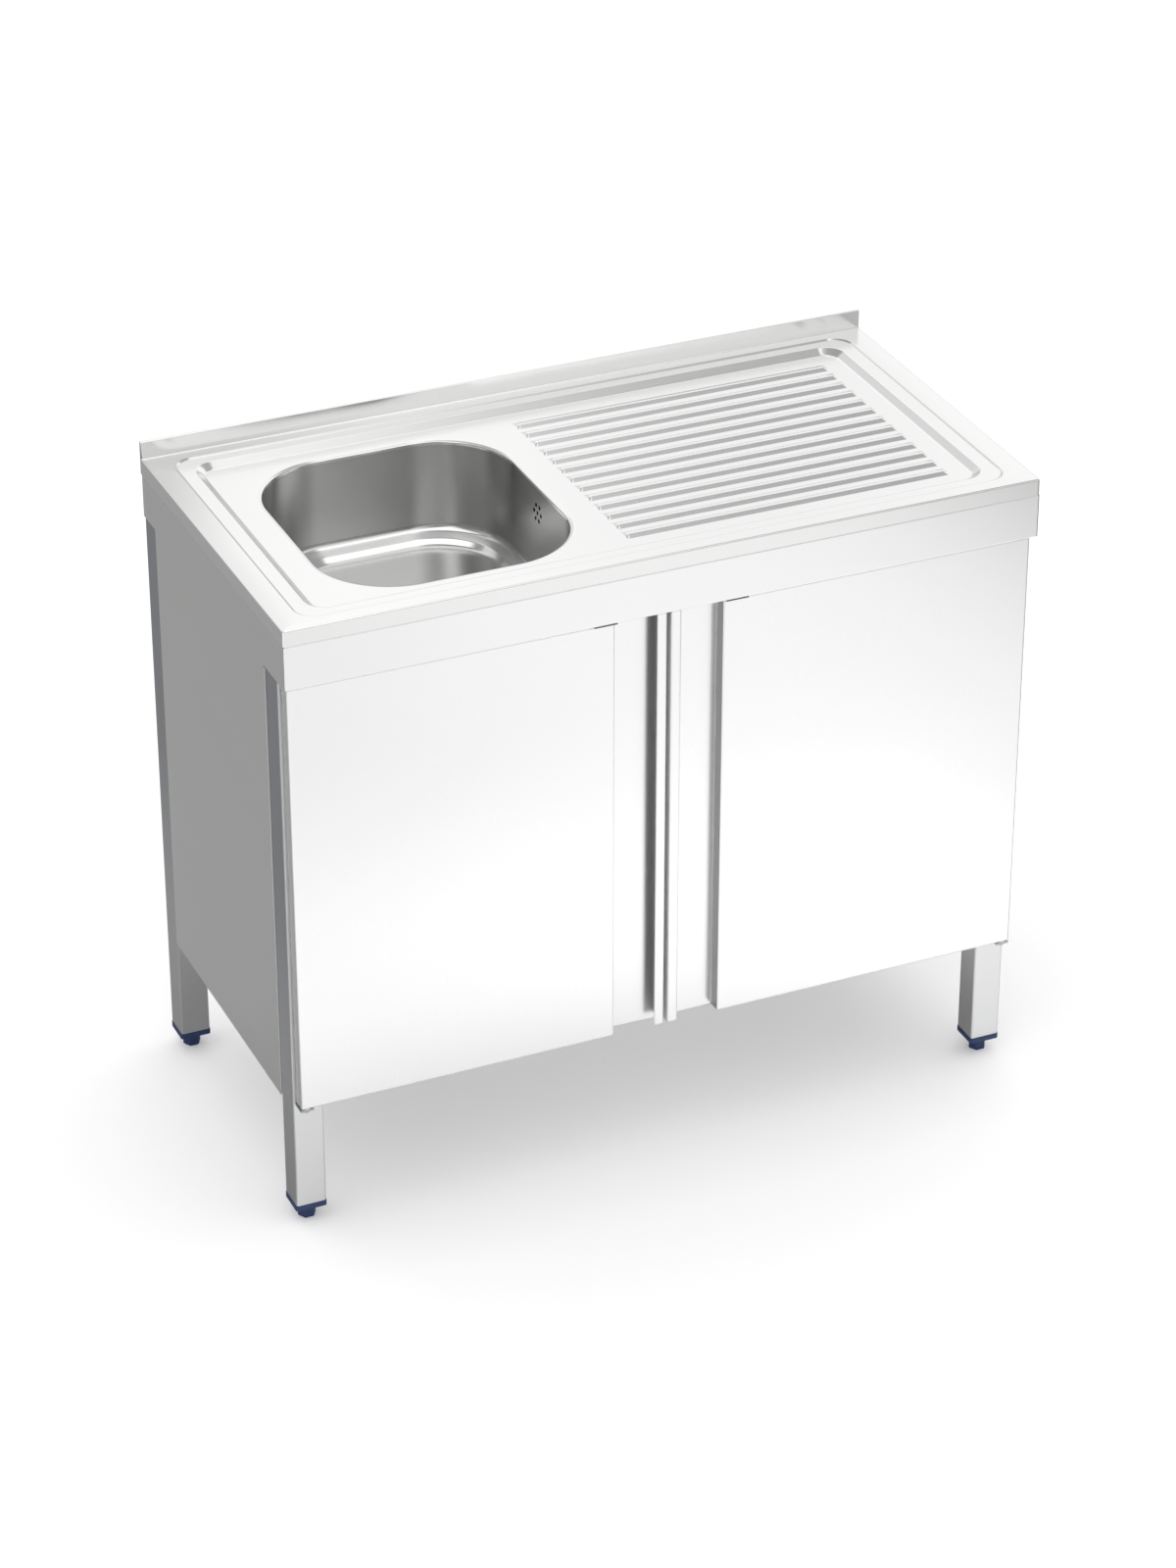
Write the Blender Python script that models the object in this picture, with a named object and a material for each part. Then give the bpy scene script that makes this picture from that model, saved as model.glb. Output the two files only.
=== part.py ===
"""Free-standing sink unit in folded stainless sheet.

A pressed worktop with one bowl and a ribbed drainer stands on four square
tube legs. Side panels, a front apron and two doors on pivot pins close the
cabinet below it. Metres, +Z up. The origin is on the floor under the middle
of the unit, the doors face -Y and the bowl is on the left, towards -X.
"""
import math

import bmesh
import bpy
from mathutils import Matrix, Vector

# Overall sizes
LENGTH = 1.000
DEPTH = 0.505
WORKTOP_HEIGHT = 0.860
UPSTAND_HEIGHT = 0.024
UPSTAND_THICKNESS = 0.005
RIM_HEIGHT = 0.021
APRON_HEIGHT = 0.058

# Sheet and assembly clearances
SHEET = 0.0008
TOP_SHEET = 0.0010
BEND = 0.0012
GAP = 0.0003
SIDE_INSET = 0.0008
PANEL_GAP = 0.0010
RELIEF = 0.003

# Pressed border of the worktop
BORDER_SIDE = 0.0305
BORDER_FRONT = 0.021
BORDER_BACK = 0.017
BORDER_CORNER = 0.027
LINE_RUN = 0.0032
LINE_DROP = 0.0018
LEDGE_SIDE = 0.0179
LEDGE_FRONT = 0.0159
LEDGE_BACK = 0.0149
FIELD_CORNER = 0.018
FIELD_RUN = 0.0098
FIELD_DROP = 0.0067

# Bowl
BOWL_LENGTH = 0.328
BOWL_WIDTH = 0.359
BOWL_DEPTH = 0.135
BOWL_CORNER = 0.102
BOWL_SIDE_MARGIN = 0.038
BOWL_FRONT_MARGIN = 0.0153
BOWL_DRAFT = 0.004
ROLL_RADIUS = 0.002
ROLL_LAND = 0.003
WALL_FILLET = 0.010
FLOOR_FILLET = 0.036
RING_LENGTH = 0.0096
RING_SLOPE = math.radians(30)
BOWL_FALL = 0.002
SEAT_RADIUS = 0.041
DRAIN_RADIUS = 0.026

# Drainer ribs
RIB_PITCH = 0.028
RIB_TOP = 0.0033
RIB_RUN = 0.008
RIB_END_RUN = 0.006
RIB_HEIGHT = 0.0024
RIB_BOWL_GAP = 0.0392
RIB_END_MARGIN = 0.0266
RIB_FRONT_MARGIN = 0.0218
RIB_BACK_MARGIN = 0.024
STIFFENER_WIDTH = 0.060
STIFFENER_FLANGE = 0.015
STIFFENER_HEIGHT = 0.020

# Overflow
OVERFLOW_DEPTH = 0.034
OVERFLOW_RING = 0.0095
OVERFLOW_HOLE = 0.0026
OVERFLOW_OUTER_HOLES = 6
CUP_SIZE = 0.044
CUP_CORNER = 0.008
CUP_WALL = 0.0025
CUP_DEPTH = 0.020
CUP_GASKET = 0.003
PIPE_RADIUS = 0.0080
PIPE_WALL = 0.0015
PIPE_BEND = 0.040

# Waste outlet
STRAINER_RADIUS = 0.035
STRAINER_THICKNESS = 0.0015
STRAINER_HOLE = 0.0045
STRAINER_RING = 0.016
STRAINER_OUTER_HOLES = 8
GASKET_THICKNESS = 0.003
WASTE_FLANGE = 0.034
WASTE_FLANGE_THICKNESS = 0.005
WASTE_COLLAR = 0.029
WASTE_COLLAR_HEIGHT = 0.036
WASTE_TAIL = 0.0225
WASTE_TAIL_LENGTH = 0.036
WASTE_WALL = 0.003
NUT_RADIUS = 0.033
NUT_HEIGHT = 0.016

# Legs and feet
LEG = 0.040
LEG_WALL = 0.0015
LEG_CORNER = 0.003
FOOT_HEIGHT = 0.0205
FOOT_SIDE = 0.012
FOOT_CHAMFER = 0.0015
STUD_RADIUS = 0.005
STUD_LENGTH = 0.034
PLUG_THICKNESS = 0.0075
PLUG_OVERHANG = 0.0007
PLUG_SPIGOT = 0.022

# Cabinet panels
PANEL_BOTTOM = 0.172
PANEL_FLANGE = 0.015
BOTTOM_FLANGE = 0.025
BACK_PANEL_HEIGHT = 0.430
RAIL_HEIGHT = 0.058
RAIL_FLANGE = 0.020
APRON_FLANGE = 0.022
SHELF_FOLD = 0.018
SHELF_SETBACK = 0.020

# Doors
DOOR_SETBACK = 0.0094
DOOR_THICKNESS = 0.018
DOOR_LEG_GAP = 0.003
DOOR_SIDE_INSET = 0.0058
DOOR_BOTTOM = 0.1855
DOOR_TOP_GAP = 0.0045
DOOR_MEETING_GAP = 0.0052
HANDLE_WIDTH = 0.0698
LIP_WIDTH = 0.0132
LINER_FLANGE = 0.010

# Door pivots
PIVOT_SIDE = 0.008
PIVOT_BACK = 0.011
PIN_RADIUS = 0.003
PIN_REACH = 0.008
PIN_HEAD = 0.005
PIN_HEAD_THICKNESS = 0.002
BUSH_WALL = 0.0017
BUSH_COLLAR = 0.0012
BUSH_COLLAR_THICKNESS = 0.0010
BUSH_LENGTH = 0.006
BRACKET_WIDTH = 0.0174
BRACKET_THICKNESS = 0.003
UPPER_BRACKET_THICKNESS = 0.002
BRACKET_FRONT_INSET = 0.001

# Magnetic door catches
CATCH_WIDTH = 0.030
CATCH_THICKNESS = 0.0018
CATCH_FRONT_INSET = 0.001
CATCH_TONGUE = 0.012
CATCH_TONGUE_DROP = 0.024
STRIKE_THICKNESS = 0.001
STRIKE_HEIGHT = 0.020

# Facets
CORNER_STEPS = 6
BOWL_STEPS = 9
ARC_STEPS = 4
ROUND_STEPS = 24
HOLE_STEPS = 12
WELD = 0.00001
FOLD_ANGLE = math.radians(40)
SMOOTH_ANGLE = math.radians(32)

# Levels and planes that the sizes above give
FRONT = -DEPTH / 2
BACK = DEPTH / 2
UPSTAND_FACE = BACK - UPSTAND_THICKNESS
RIM_BOTTOM = WORKTOP_HEIGHT - RIM_HEIGHT
APRON_TOP = RIM_BOTTOM - GAP
APRON_BOTTOM = APRON_TOP - APRON_HEIGHT
LEDGE_Z = WORKTOP_HEIGHT - LINE_DROP
FIELD_Z = LEDGE_Z - FIELD_DROP
FIELD_UNDERSIDE = FIELD_Z - TOP_SHEET
FIELD_X = LENGTH / 2 - BORDER_SIDE - LINE_RUN - LEDGE_SIDE - FIELD_RUN
FIELD_FRONT = FRONT + BORDER_FRONT + LINE_RUN + LEDGE_FRONT + FIELD_RUN
FIELD_BACK = UPSTAND_FACE - BORDER_BACK - LINE_RUN - LEDGE_BACK - FIELD_RUN
BOWL_X0 = -FIELD_X + BOWL_SIDE_MARGIN + ROLL_RADIUS
BOWL_X1 = BOWL_X0 + BOWL_LENGTH
BOWL_Y0 = FIELD_FRONT + BOWL_FRONT_MARGIN + ROLL_RADIUS
BOWL_Y1 = BOWL_Y0 + BOWL_WIDTH
BOWL_X = (BOWL_X0 + BOWL_X1) / 2
BOWL_Y = (BOWL_Y0 + BOWL_Y1) / 2
BOWL_FLOOR = FIELD_Z - BOWL_DEPTH
SEAT_Z = BOWL_FLOOR - BOWL_FALL
SEAT_UNDERSIDE = SEAT_Z - TOP_SHEET
WASTE_TOP = SEAT_UNDERSIDE - 2 * GAP - GASKET_THICKNESS
COLLAR_TOP = WASTE_TOP - WASTE_FLANGE_THICKNESS
COLLAR_BOTTOM = COLLAR_TOP - WASTE_COLLAR_HEIGHT
WASTE_BOTTOM = COLLAR_BOTTOM - WASTE_TAIL_LENGTH
LEG_BOTTOM = FOOT_HEIGHT + PLUG_THICKNESS
LEG_TOP = FIELD_UNDERSIDE - GAP
PANEL_X = LENGTH / 2 - SIDE_INSET
LEG_X1 = PANEL_X - SHEET - GAP
LEG_X0 = LEG_X1 - LEG
LEG_FRONT = FRONT + DOOR_SETBACK + DOOR_THICKNESS + DOOR_LEG_GAP
LEG_BACK = BACK - TOP_SHEET - GAP
DOOR_FACE = FRONT + DOOR_SETBACK
DOOR_REAR = DOOR_FACE + DOOR_THICKNESS
DOOR_EDGE = DOOR_REAR - SHEET
DOOR_TOP = APRON_BOTTOM - DOOR_TOP_GAP
DOOR_X1 = LENGTH / 2 - DOOR_SIDE_INSET
DOOR_X0 = DOOR_MEETING_GAP / 2
HANDLE_X = DOOR_X0 + HANDLE_WIDTH
PIVOT_X = DOOR_X1 - PIVOT_SIDE
PIVOT_Y = DOOR_REAR - PIVOT_BACK
BUSH_BORE = PIN_RADIUS + GAP
BUSH_RADIUS = BUSH_BORE + BUSH_WALL


def clear_scene():
    """Take every object out of the scene."""
    for thing in list(bpy.data.objects):
        bpy.data.objects.remove(thing)


def material(name, colour, roughness, metallic):
    """A Principled material, made once and shared by name."""
    made = bpy.data.materials.get(name)
    if made is None:
        made = bpy.data.materials.new(name)
        made.use_nodes = True
        shader = made.node_tree.nodes["Principled BSDF"]
        shader.inputs["Base Color"].default_value = (*colour, 1.0)
        shader.inputs["Roughness"].default_value = roughness
        shader.inputs["Metallic"].default_value = metallic
    return made


def satin_steel():
    return material("satin_stainless", (0.74, 0.74, 0.73), 0.32, 1.0)


def grained_steel():
    return material("grained_stainless", (0.62, 0.63, 0.64), 0.40, 1.0)


def zinc_steel():
    return material("zinc_plated_steel", (0.58, 0.59, 0.60), 0.38, 1.0)


def navy_plastic():
    return material("navy_plastic", (0.019, 0.042, 0.147), 0.48, 0.0)


def white_nylon():
    return material("white_nylon", (0.80, 0.80, 0.78), 0.45, 0.0)


def grey_plastic():
    return material("grey_plastic", (0.55, 0.56, 0.57), 0.50, 0.0)


def dark_plastic():
    return material("dark_plastic", (0.06, 0.06, 0.065), 0.50, 0.0)


def black_rubber():
    return material("black_rubber", (0.02, 0.02, 0.02), 0.75, 0.0)


def rounded_ring(x0, x1, y0, y1, radius, z, steps=CORNER_STEPS):
    """A level rectangle with round corners, as points counterclockwise from its front right corner."""
    centres = ((x1 - radius, y0 + radius, -90), (x1 - radius, y1 - radius, 0),
               (x0 + radius, y1 - radius, 90), (x0 + radius, y0 + radius, 180))
    points = []
    for cx, cy, start in centres:
        for step in range(steps + 1):
            turn = math.radians(start + 90 * step / steps)
            points.append(Vector((cx + radius * math.cos(turn), cy + radius * math.sin(turn), z)))
    return points


def square_ring(cx, cy, half, radius, z, steps=CORNER_STEPS):
    """A level square with round corners about a centre."""
    return rounded_ring(cx - half, cx + half, cy - half, cy + half, radius, z, steps)


def round_ring(cx, cy, radius, z, steps=ROUND_STEPS):
    """A level circle."""
    turns = [2 * math.pi * step / steps for step in range(steps)]
    return [Vector((cx + radius * math.cos(turn), cy + radius * math.sin(turn), z)) for turn in turns]


def hexagon_ring(cx, cy, side, z, steps=ROUND_STEPS):
    """A level hexagon with flat sides to the front and back, sampled at the turns of a circle."""
    apothem = side * math.cos(math.pi / 6)
    points = []
    for step in range(steps):
        turn = 2 * math.pi * step / steps
        reach = apothem / math.cos(turn % (math.pi / 3) - math.pi / 6)
        points.append(Vector((cx + reach * math.cos(turn), cy + reach * math.sin(turn), z)))
    return points


def add_loop(shape, points):
    """Add a closed loop of edges and return its vertices and edges."""
    corners = [shape.verts.new(point) for point in points]
    edges = [shape.edges.new((a, b)) for a, b in zip(corners, corners[1:] + corners[:1])]
    return corners, edges


def add_panel(shape, outline, holes=()):
    """Fill a flat outline, leaving its holes open."""
    corners, edges = add_loop(shape, outline)
    if not holes:
        return [shape.faces.new(corners)]
    for hole in holes:
        edges = edges + add_loop(shape, hole)[1]
    filled = bmesh.ops.triangle_fill(shape, use_beauty=True, edges=edges)
    return [piece for piece in filled["geom"] if isinstance(piece, bmesh.types.BMFace)]


def add_loft(shape, rings, closed=False):
    """Join rings of equal count with bands of quads, and the last to the first if closed."""
    loops = [[shape.verts.new(point) for point in ring] for ring in rings]
    if closed:
        loops.append(loops[0])
    for low, high in zip(loops, loops[1:]):
        for i in range(len(low)):
            j = (i + 1) % len(low)
            shape.faces.new((low[i], low[j], high[j], high[i]))
    return loops


def finish(name, shape, look, origin=Vector()):
    """Turn a shape into a named object whose origin lies at the given point."""
    bmesh.ops.translate(shape, verts=shape.verts, vec=-Vector(origin))
    mesh = bpy.data.meshes.new(name)
    shape.to_mesh(mesh)
    shape.free()
    mesh.shade_smooth()
    mesh.set_sharp_from_angle(angle=SMOOTH_ANGLE)
    mesh.materials.append(look)
    thing = bpy.data.objects.new(name, mesh)
    thing.location = origin
    bpy.context.scene.collection.objects.link(thing)
    return thing


def solid(name, rings, look, closed=False, origin=Vector()):
    """A closed body lofted through rings, capped at both ends unless it closes on itself."""
    shape = bmesh.new()
    loops = add_loft(shape, rings, closed)
    if not closed:
        shape.faces.new(loops[0])
        shape.faces.new(loops[-1])
    bmesh.ops.recalc_face_normals(shape, faces=shape.faces)
    return finish(name, shape, look, origin)


def sheet(name, shape, guide, outside, thickness, look, bend=BEND, origin=Vector()):
    """Thicken folded panels away from their visible side, which the guide face's outside gives."""
    guide_centre = guide.calc_center_median()
    bmesh.ops.remove_doubles(shape, verts=shape.verts, dist=WELD)
    bmesh.ops.recalc_face_normals(shape, faces=shape.faces)
    nearest = min(shape.faces, key=lambda face: (face.calc_center_median() - guide_centre).length)
    if nearest.normal.dot(Vector(outside)) < 0:
        bmesh.ops.reverse_faces(shape, faces=shape.faces)
    thing = finish(name, shape, look, origin)
    if bend:
        rounding = thing.modifiers.new("bends", "BEVEL")
        rounding.width = bend
        rounding.segments = 2
        rounding.limit_method = "ANGLE"
        rounding.angle_limit = FOLD_ANGLE
    wall = thing.modifiers.new("sheet", "SOLIDIFY")
    wall.thickness = thickness
    wall.offset = -1
    wall.use_even_offset = True
    return thing


def folded(name, panels, outside, thickness, look, bend=BEND, origin=Vector()):
    """A sheet made of flat panels, each an outline or an outline with a list of holes."""
    shape = bmesh.new()
    guide = None
    for panel in panels:
        outline, holes = panel if isinstance(panel, tuple) else (panel, ())
        faces = add_panel(shape, outline, holes)
        guide = guide or faces[0]
    return sheet(name, shape, guide, outside, thickness, look, bend, origin)


def quad(a, b, c, d):
    """Four corners as vectors."""
    return [Vector(a), Vector(b), Vector(c), Vector(d)]


def grown(x0, x1, y0, y1, by):
    """A rectangle's limits moved out by an amount on every side."""
    return x0 - by, x1 + by, y0 - by, y1 + by


def block(name, x0, x1, y0, y1, z0, z1, look, origin=Vector()):
    """A plain rectangular body."""
    x0, x1 = min(x0, x1), max(x0, x1)
    rings = [[Vector((x, y, z)) for x, y in ((x0, y0), (x1, y0), (x1, y1), (x0, y1))] for z in (z0, z1)]
    return solid(name, rings, look, origin=origin)


def bowl_opening(offset, z):
    """The bowl's outline at its mouth, moved out by an offset."""
    limits = grown(BOWL_X0, BOWL_X1, BOWL_Y0, BOWL_Y1, offset)
    return rounded_ring(*limits, BOWL_CORNER + offset, z, BOWL_STEPS)


def rib_starts():
    """Front edges of the drainer ribs, as many as fit the pressed field."""
    first = FIELD_FRONT + RIB_FRONT_MARGIN
    width = 2 * RIB_RUN + RIB_TOP
    room = FIELD_BACK - RIB_BACK_MARGIN - width - first
    count = int(room / RIB_PITCH) + 1
    return [first + RIB_PITCH * i for i in range(count)]


def add_ribs(shape):
    """Raise the drainer ribs with hipped ends and return the outlines they stand on."""
    x0 = BOWL_X1 + ROLL_RADIUS + RIB_BOWL_GAP
    x1 = FIELD_X - RIB_END_MARGIN
    feet = []
    for y0 in rib_starts():
        y1 = y0 + 2 * RIB_RUN + RIB_TOP
        foot = quad((x0, y0, FIELD_Z), (x1, y0, FIELD_Z), (x1, y1, FIELD_Z), (x0, y1, FIELD_Z))
        lift = FIELD_Z + RIB_HEIGHT
        low, high, near, far = x0 + RIB_END_RUN, x1 - RIB_END_RUN, y0 + RIB_RUN, y1 - RIB_RUN
        top = quad((low, near, lift), (high, near, lift), (high, far, lift), (low, far, lift))
        shape.faces.new(add_loft(shape, [foot, top])[-1])
        feet.append(foot)
    return feet


def border_rings():
    """The pressed border: a fine line, a ledge and the slope down to the field."""
    x = LENGTH / 2 - BORDER_SIDE
    y0 = FRONT + BORDER_FRONT
    y1 = UPSTAND_FACE - BORDER_BACK
    line_top = rounded_ring(-x, x, y0, y1, BORDER_CORNER, WORKTOP_HEIGHT)
    x, y0, y1 = x - LINE_RUN, y0 + LINE_RUN, y1 - LINE_RUN
    line_foot = rounded_ring(-x, x, y0, y1, BORDER_CORNER - LINE_RUN, LEDGE_Z)
    x, y0, y1 = x - LEDGE_SIDE, y0 + LEDGE_FRONT, y1 - LEDGE_BACK
    slope_top = rounded_ring(-x, x, y0, y1, FIELD_CORNER + FIELD_RUN, LEDGE_Z)
    field = rounded_ring(-FIELD_X, FIELD_X, FIELD_FRONT, FIELD_BACK, FIELD_CORNER, FIELD_Z)
    return [line_top, line_foot, slope_top, field]


def make_worktop():
    """One pressed sheet: bordered field, ribs, bowl opening, folded rim and hemmed upstand."""
    shape = bmesh.new()
    x = LENGTH / 2
    top, low, high = WORKTOP_HEIGHT, RIM_BOTTOM, WORKTOP_HEIGHT + UPSTAND_HEIGHT
    rings = border_rings()
    outline = quad((-x, FRONT, top), (x, FRONT, top), (x, UPSTAND_FACE, top), (-x, UPSTAND_FACE, top))
    guide = add_panel(shape, outline, [rings[0]])[0]
    add_loft(shape, rings)
    add_panel(shape, rings[-1], [bowl_opening(ROLL_RADIUS, FIELD_Z)] + add_ribs(shape))
    turns = [math.pi / 2 * step / ARC_STEPS for step in range(ARC_STEPS + 1)]
    roll = [bowl_opening(ROLL_RADIUS * (1 - math.sin(turn)), FIELD_Z - ROLL_RADIUS * (1 - math.cos(turn)))
            for turn in turns]
    roll.append(bowl_opening(0, FIELD_Z - ROLL_RADIUS - ROLL_LAND))
    add_loft(shape, roll)
    add_panel(shape, quad((-x, FRONT, top), (x, FRONT, top), (x, FRONT, low), (-x, FRONT, low)))
    for side in (-x, x):
        end = [(FRONT, top), (UPSTAND_FACE, top), (UPSTAND_FACE, high), (BACK, high), (BACK, low), (FRONT, low)]
        add_panel(shape, [Vector((side, y, z)) for y, z in end])
    hem = [(UPSTAND_FACE, top), (UPSTAND_FACE, high), (BACK, high), (BACK, low)]
    for (ya, za), (yb, zb) in zip(hem, hem[1:]):
        add_panel(shape, quad((-x, ya, za), (x, ya, za), (x, yb, zb), (-x, yb, zb)))
    sheet("worktop", shape, guide, (0, 0, 1), TOP_SHEET, satin_steel())


def bowl_section():
    """The bowl's wall from its mouth to its flat floor, as inward offsets and depths below the field."""
    mouth = ROLL_RADIUS + ROLL_LAND + GAP
    turn = math.pi / 2 - RING_SLOPE
    fillet_drop = WALL_FILLET * math.sin(turn)
    ring_drop = RING_LENGTH * math.sin(RING_SLOPE)
    floor_drop = FLOOR_FILLET * (1 - math.cos(RING_SLOPE))
    wall_foot = BOWL_DEPTH - fillet_drop - ring_drop - floor_drop
    section = [(0, mouth), (BOWL_DRAFT, wall_foot)]
    for step in range(1, ARC_STEPS + 1):
        angle = turn * step / ARC_STEPS
        section.append((BOWL_DRAFT + WALL_FILLET * (1 - math.cos(angle)), wall_foot + WALL_FILLET * math.sin(angle)))
    inward, depth = section[-1]
    inward += RING_LENGTH * math.cos(RING_SLOPE)
    depth += ring_drop
    for step in range(ARC_STEPS + 1):
        angle = RING_SLOPE * (1 - step / ARC_STEPS)
        run = FLOOR_FILLET * (math.sin(RING_SLOPE) - math.sin(angle))
        rise = FLOOR_FILLET * (math.cos(angle) - math.cos(RING_SLOPE))
        section.append((inward + run, depth + rise))
    return section


def wall_lean():
    """How far the bowl's wall leans inwards for each metre down."""
    (start, mouth), (end, foot) = bowl_section()[:2]
    return (end - start) / (foot - mouth)


def overflow_frame():
    """Placement on the outer face of the bowl's right wall, with local Z pointing out of the bowl."""
    mouth = bowl_section()[0][1]
    lean = math.atan(wall_lean())
    face = BOWL_X1 - wall_lean() * (OVERFLOW_DEPTH - mouth) + TOP_SHEET / math.cos(lean)
    place = Matrix.Translation((face, BOWL_Y, FIELD_Z - OVERFLOW_DEPTH))
    return place @ Matrix.Rotation(math.pi / 2 + lean, 4, "Y")


def overflow_cutter(place):
    """A hidden bundle of round cutters for the overflow's ring of holes."""
    shape = bmesh.new()
    turns = [2 * math.pi * i / OVERFLOW_OUTER_HOLES for i in range(OVERFLOW_OUTER_HOLES)]
    centres = [(0, 0)] + [(OVERFLOW_RING * math.cos(t), OVERFLOW_RING * math.sin(t)) for t in turns]
    for cx, cy in centres:
        rings = [round_ring(cx, cy, OVERFLOW_HOLE, z, HOLE_STEPS) for z in (-3 * TOP_SHEET, 2 * TOP_SHEET)]
        loops = add_loft(shape, [[place @ point for point in ring] for ring in rings])
        shape.faces.new(loops[0])
        shape.faces.new(loops[-1])
    bmesh.ops.recalc_face_normals(shape, faces=shape.faces)
    cutter = finish("overflow_cutter", shape, dark_plastic())
    cutter.hide_render = True
    cutter.display_type = "WIRE"
    return cutter


def make_bowl():
    """The deep-drawn bowl, butt-welded under the worktop's rolled opening."""
    shape = bmesh.new()
    rings = [bowl_opening(-inward, FIELD_Z - depth) for inward, depth in bowl_section()]
    add_loft(shape, rings)
    seat = round_ring(BOWL_X, BOWL_Y, SEAT_RADIUS, SEAT_Z)
    drain = round_ring(BOWL_X, BOWL_Y, DRAIN_RADIUS, SEAT_Z)
    guide = add_panel(shape, rings[-1], [seat])[0]
    add_loft(shape, [seat, drain])
    bowl = sheet("bowl", shape, guide, (0, 0, 1), TOP_SHEET, satin_steel(), bend=0)
    cut = bowl.modifiers.new("overflow_holes", "BOOLEAN")
    cut.object = overflow_cutter(overflow_frame())
    cut.operation = "DIFFERENCE"
    cut.solver = "EXACT"


def make_overflow():
    """Gasket, cup and pipe that lead the overflow to the waste."""
    place = overflow_frame()
    half = CUP_SIZE / 2
    inner = half - CUP_WALL
    bore = CUP_CORNER - CUP_WALL
    seat = GAP + CUP_GASKET + GAP
    gasket = [square_ring(0, 0, half, CUP_CORNER, GAP), square_ring(0, 0, half, CUP_CORNER, GAP + CUP_GASKET),
              square_ring(0, 0, inner, bore, GAP + CUP_GASKET), square_ring(0, 0, inner, bore, GAP)]
    cup = [square_ring(0, 0, half, CUP_CORNER, seat + CUP_DEPTH), square_ring(0, 0, half, CUP_CORNER, seat),
           square_ring(0, 0, inner, bore, seat), square_ring(0, 0, inner, bore, seat + CUP_DEPTH - CUP_WALL)]
    solid("overflow_gasket", [[place @ p for p in ring] for ring in gasket], black_rubber(), closed=True)
    solid("overflow_cup", [[place @ p for p in ring] for ring in cup], grey_plastic())
    underside = place @ Vector((half, 0, seat + CUP_DEPTH / 2))
    lean_drop = PIPE_RADIUS * wall_lean()
    start = Vector((underside.x, BOWL_Y, underside.z - GAP - lean_drop))
    level = (COLLAR_TOP + COLLAR_BOTTOM) / 2
    end = Vector((BOWL_X + WASTE_COLLAR + GAP, BOWL_Y, level))
    path = [start]
    for step in range(2 * ARC_STEPS + 1):
        turn = math.pi / 2 * step / (2 * ARC_STEPS)
        path.append(Vector((start.x - PIPE_BEND * (1 - math.cos(turn)), BOWL_Y,
                            level + PIPE_BEND * (1 - math.sin(turn)))))
    path.append(end)
    make_pipe("overflow_pipe", path, PIPE_RADIUS, PIPE_RADIUS - PIPE_WALL, grey_plastic())


def make_pipe(name, path, outer, inner, look):
    """A pipe along a path in the XZ plane, with square ends."""
    steps = [b - a for a, b in zip(path, path[1:])]
    headings = [steps[0]] + [(a.normalized() + b.normalized()) for a, b in zip(steps, steps[1:])] + [steps[-1]]
    rings = {outer: [], inner: []}
    for point, heading in zip(path, headings):
        across = Vector((0, 1, 0)).cross(heading).normalized()
        for radius in (outer, inner):
            turns = [2 * math.pi * i / HOLE_STEPS for i in range(HOLE_STEPS)]
            rings[radius].append([point + radius * (math.cos(t) * across + math.sin(t) * Vector((0, 1, 0)))
                                  for t in turns])
    solid(name, rings[outer] + rings[inner][::-1], look, closed=True)


def make_waste():
    """Strainer, gasket, body and nut of the waste outlet under the bowl."""
    turns = [2 * math.pi * i / STRAINER_OUTER_HOLES for i in range(STRAINER_OUTER_HOLES)]
    lift = SEAT_Z + GAP + STRAINER_THICKNESS
    centres = [(0, 0)] + [(STRAINER_RING * math.cos(t), STRAINER_RING * math.sin(t)) for t in turns]
    holes = [round_ring(BOWL_X + cx, BOWL_Y + cy, STRAINER_HOLE, lift, HOLE_STEPS) for cx, cy in centres]
    disc = round_ring(BOWL_X, BOWL_Y, STRAINER_RADIUS, lift)
    folded("waste_strainer", [(disc, holes)], (0, 0, 1), STRAINER_THICKNESS, satin_steel(), bend=0)
    gasket_top = SEAT_UNDERSIDE - GAP
    gasket = [(WASTE_FLANGE, gasket_top), (WASTE_FLANGE, gasket_top - GASKET_THICKNESS),
              (DRAIN_RADIUS, gasket_top - GASKET_THICKNESS), (DRAIN_RADIUS, gasket_top)]
    solid("waste_gasket", [round_ring(BOWL_X, BOWL_Y, r, z) for r, z in gasket], black_rubber(), closed=True)
    bore = WASTE_TAIL - WASTE_WALL
    outer = [(WASTE_FLANGE, WASTE_TOP), (WASTE_FLANGE, COLLAR_TOP), (WASTE_COLLAR, COLLAR_TOP),
             (WASTE_COLLAR, COLLAR_BOTTOM), (WASTE_TAIL, COLLAR_BOTTOM), (WASTE_TAIL, WASTE_BOTTOM)]
    rings = []
    for half, z in outer:
        corner = CUP_CORNER if half == WASTE_COLLAR else half - GAP
        rings.append(square_ring(BOWL_X, BOWL_Y, half, corner, z))
    rings += [square_ring(BOWL_X, BOWL_Y, bore, bore - GAP, z) for z in (WASTE_BOTTOM, WASTE_TOP)]
    solid("waste_body", rings, grey_plastic(), closed=True)
    nut_top = COLLAR_BOTTOM - GAP
    nut_bore = WASTE_TAIL + GAP
    nut = [(NUT_RADIUS, nut_top), (NUT_RADIUS, nut_top - NUT_HEIGHT), (nut_bore, nut_top - NUT_HEIGHT),
           (nut_bore, nut_top)]
    rings = [hexagon_ring(BOWL_X, BOWL_Y, r, z) if r == NUT_RADIUS else round_ring(BOWL_X, BOWL_Y, r, z)
             for r, z in nut]
    solid("waste_nut", rings, grey_plastic(), closed=True)


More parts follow.
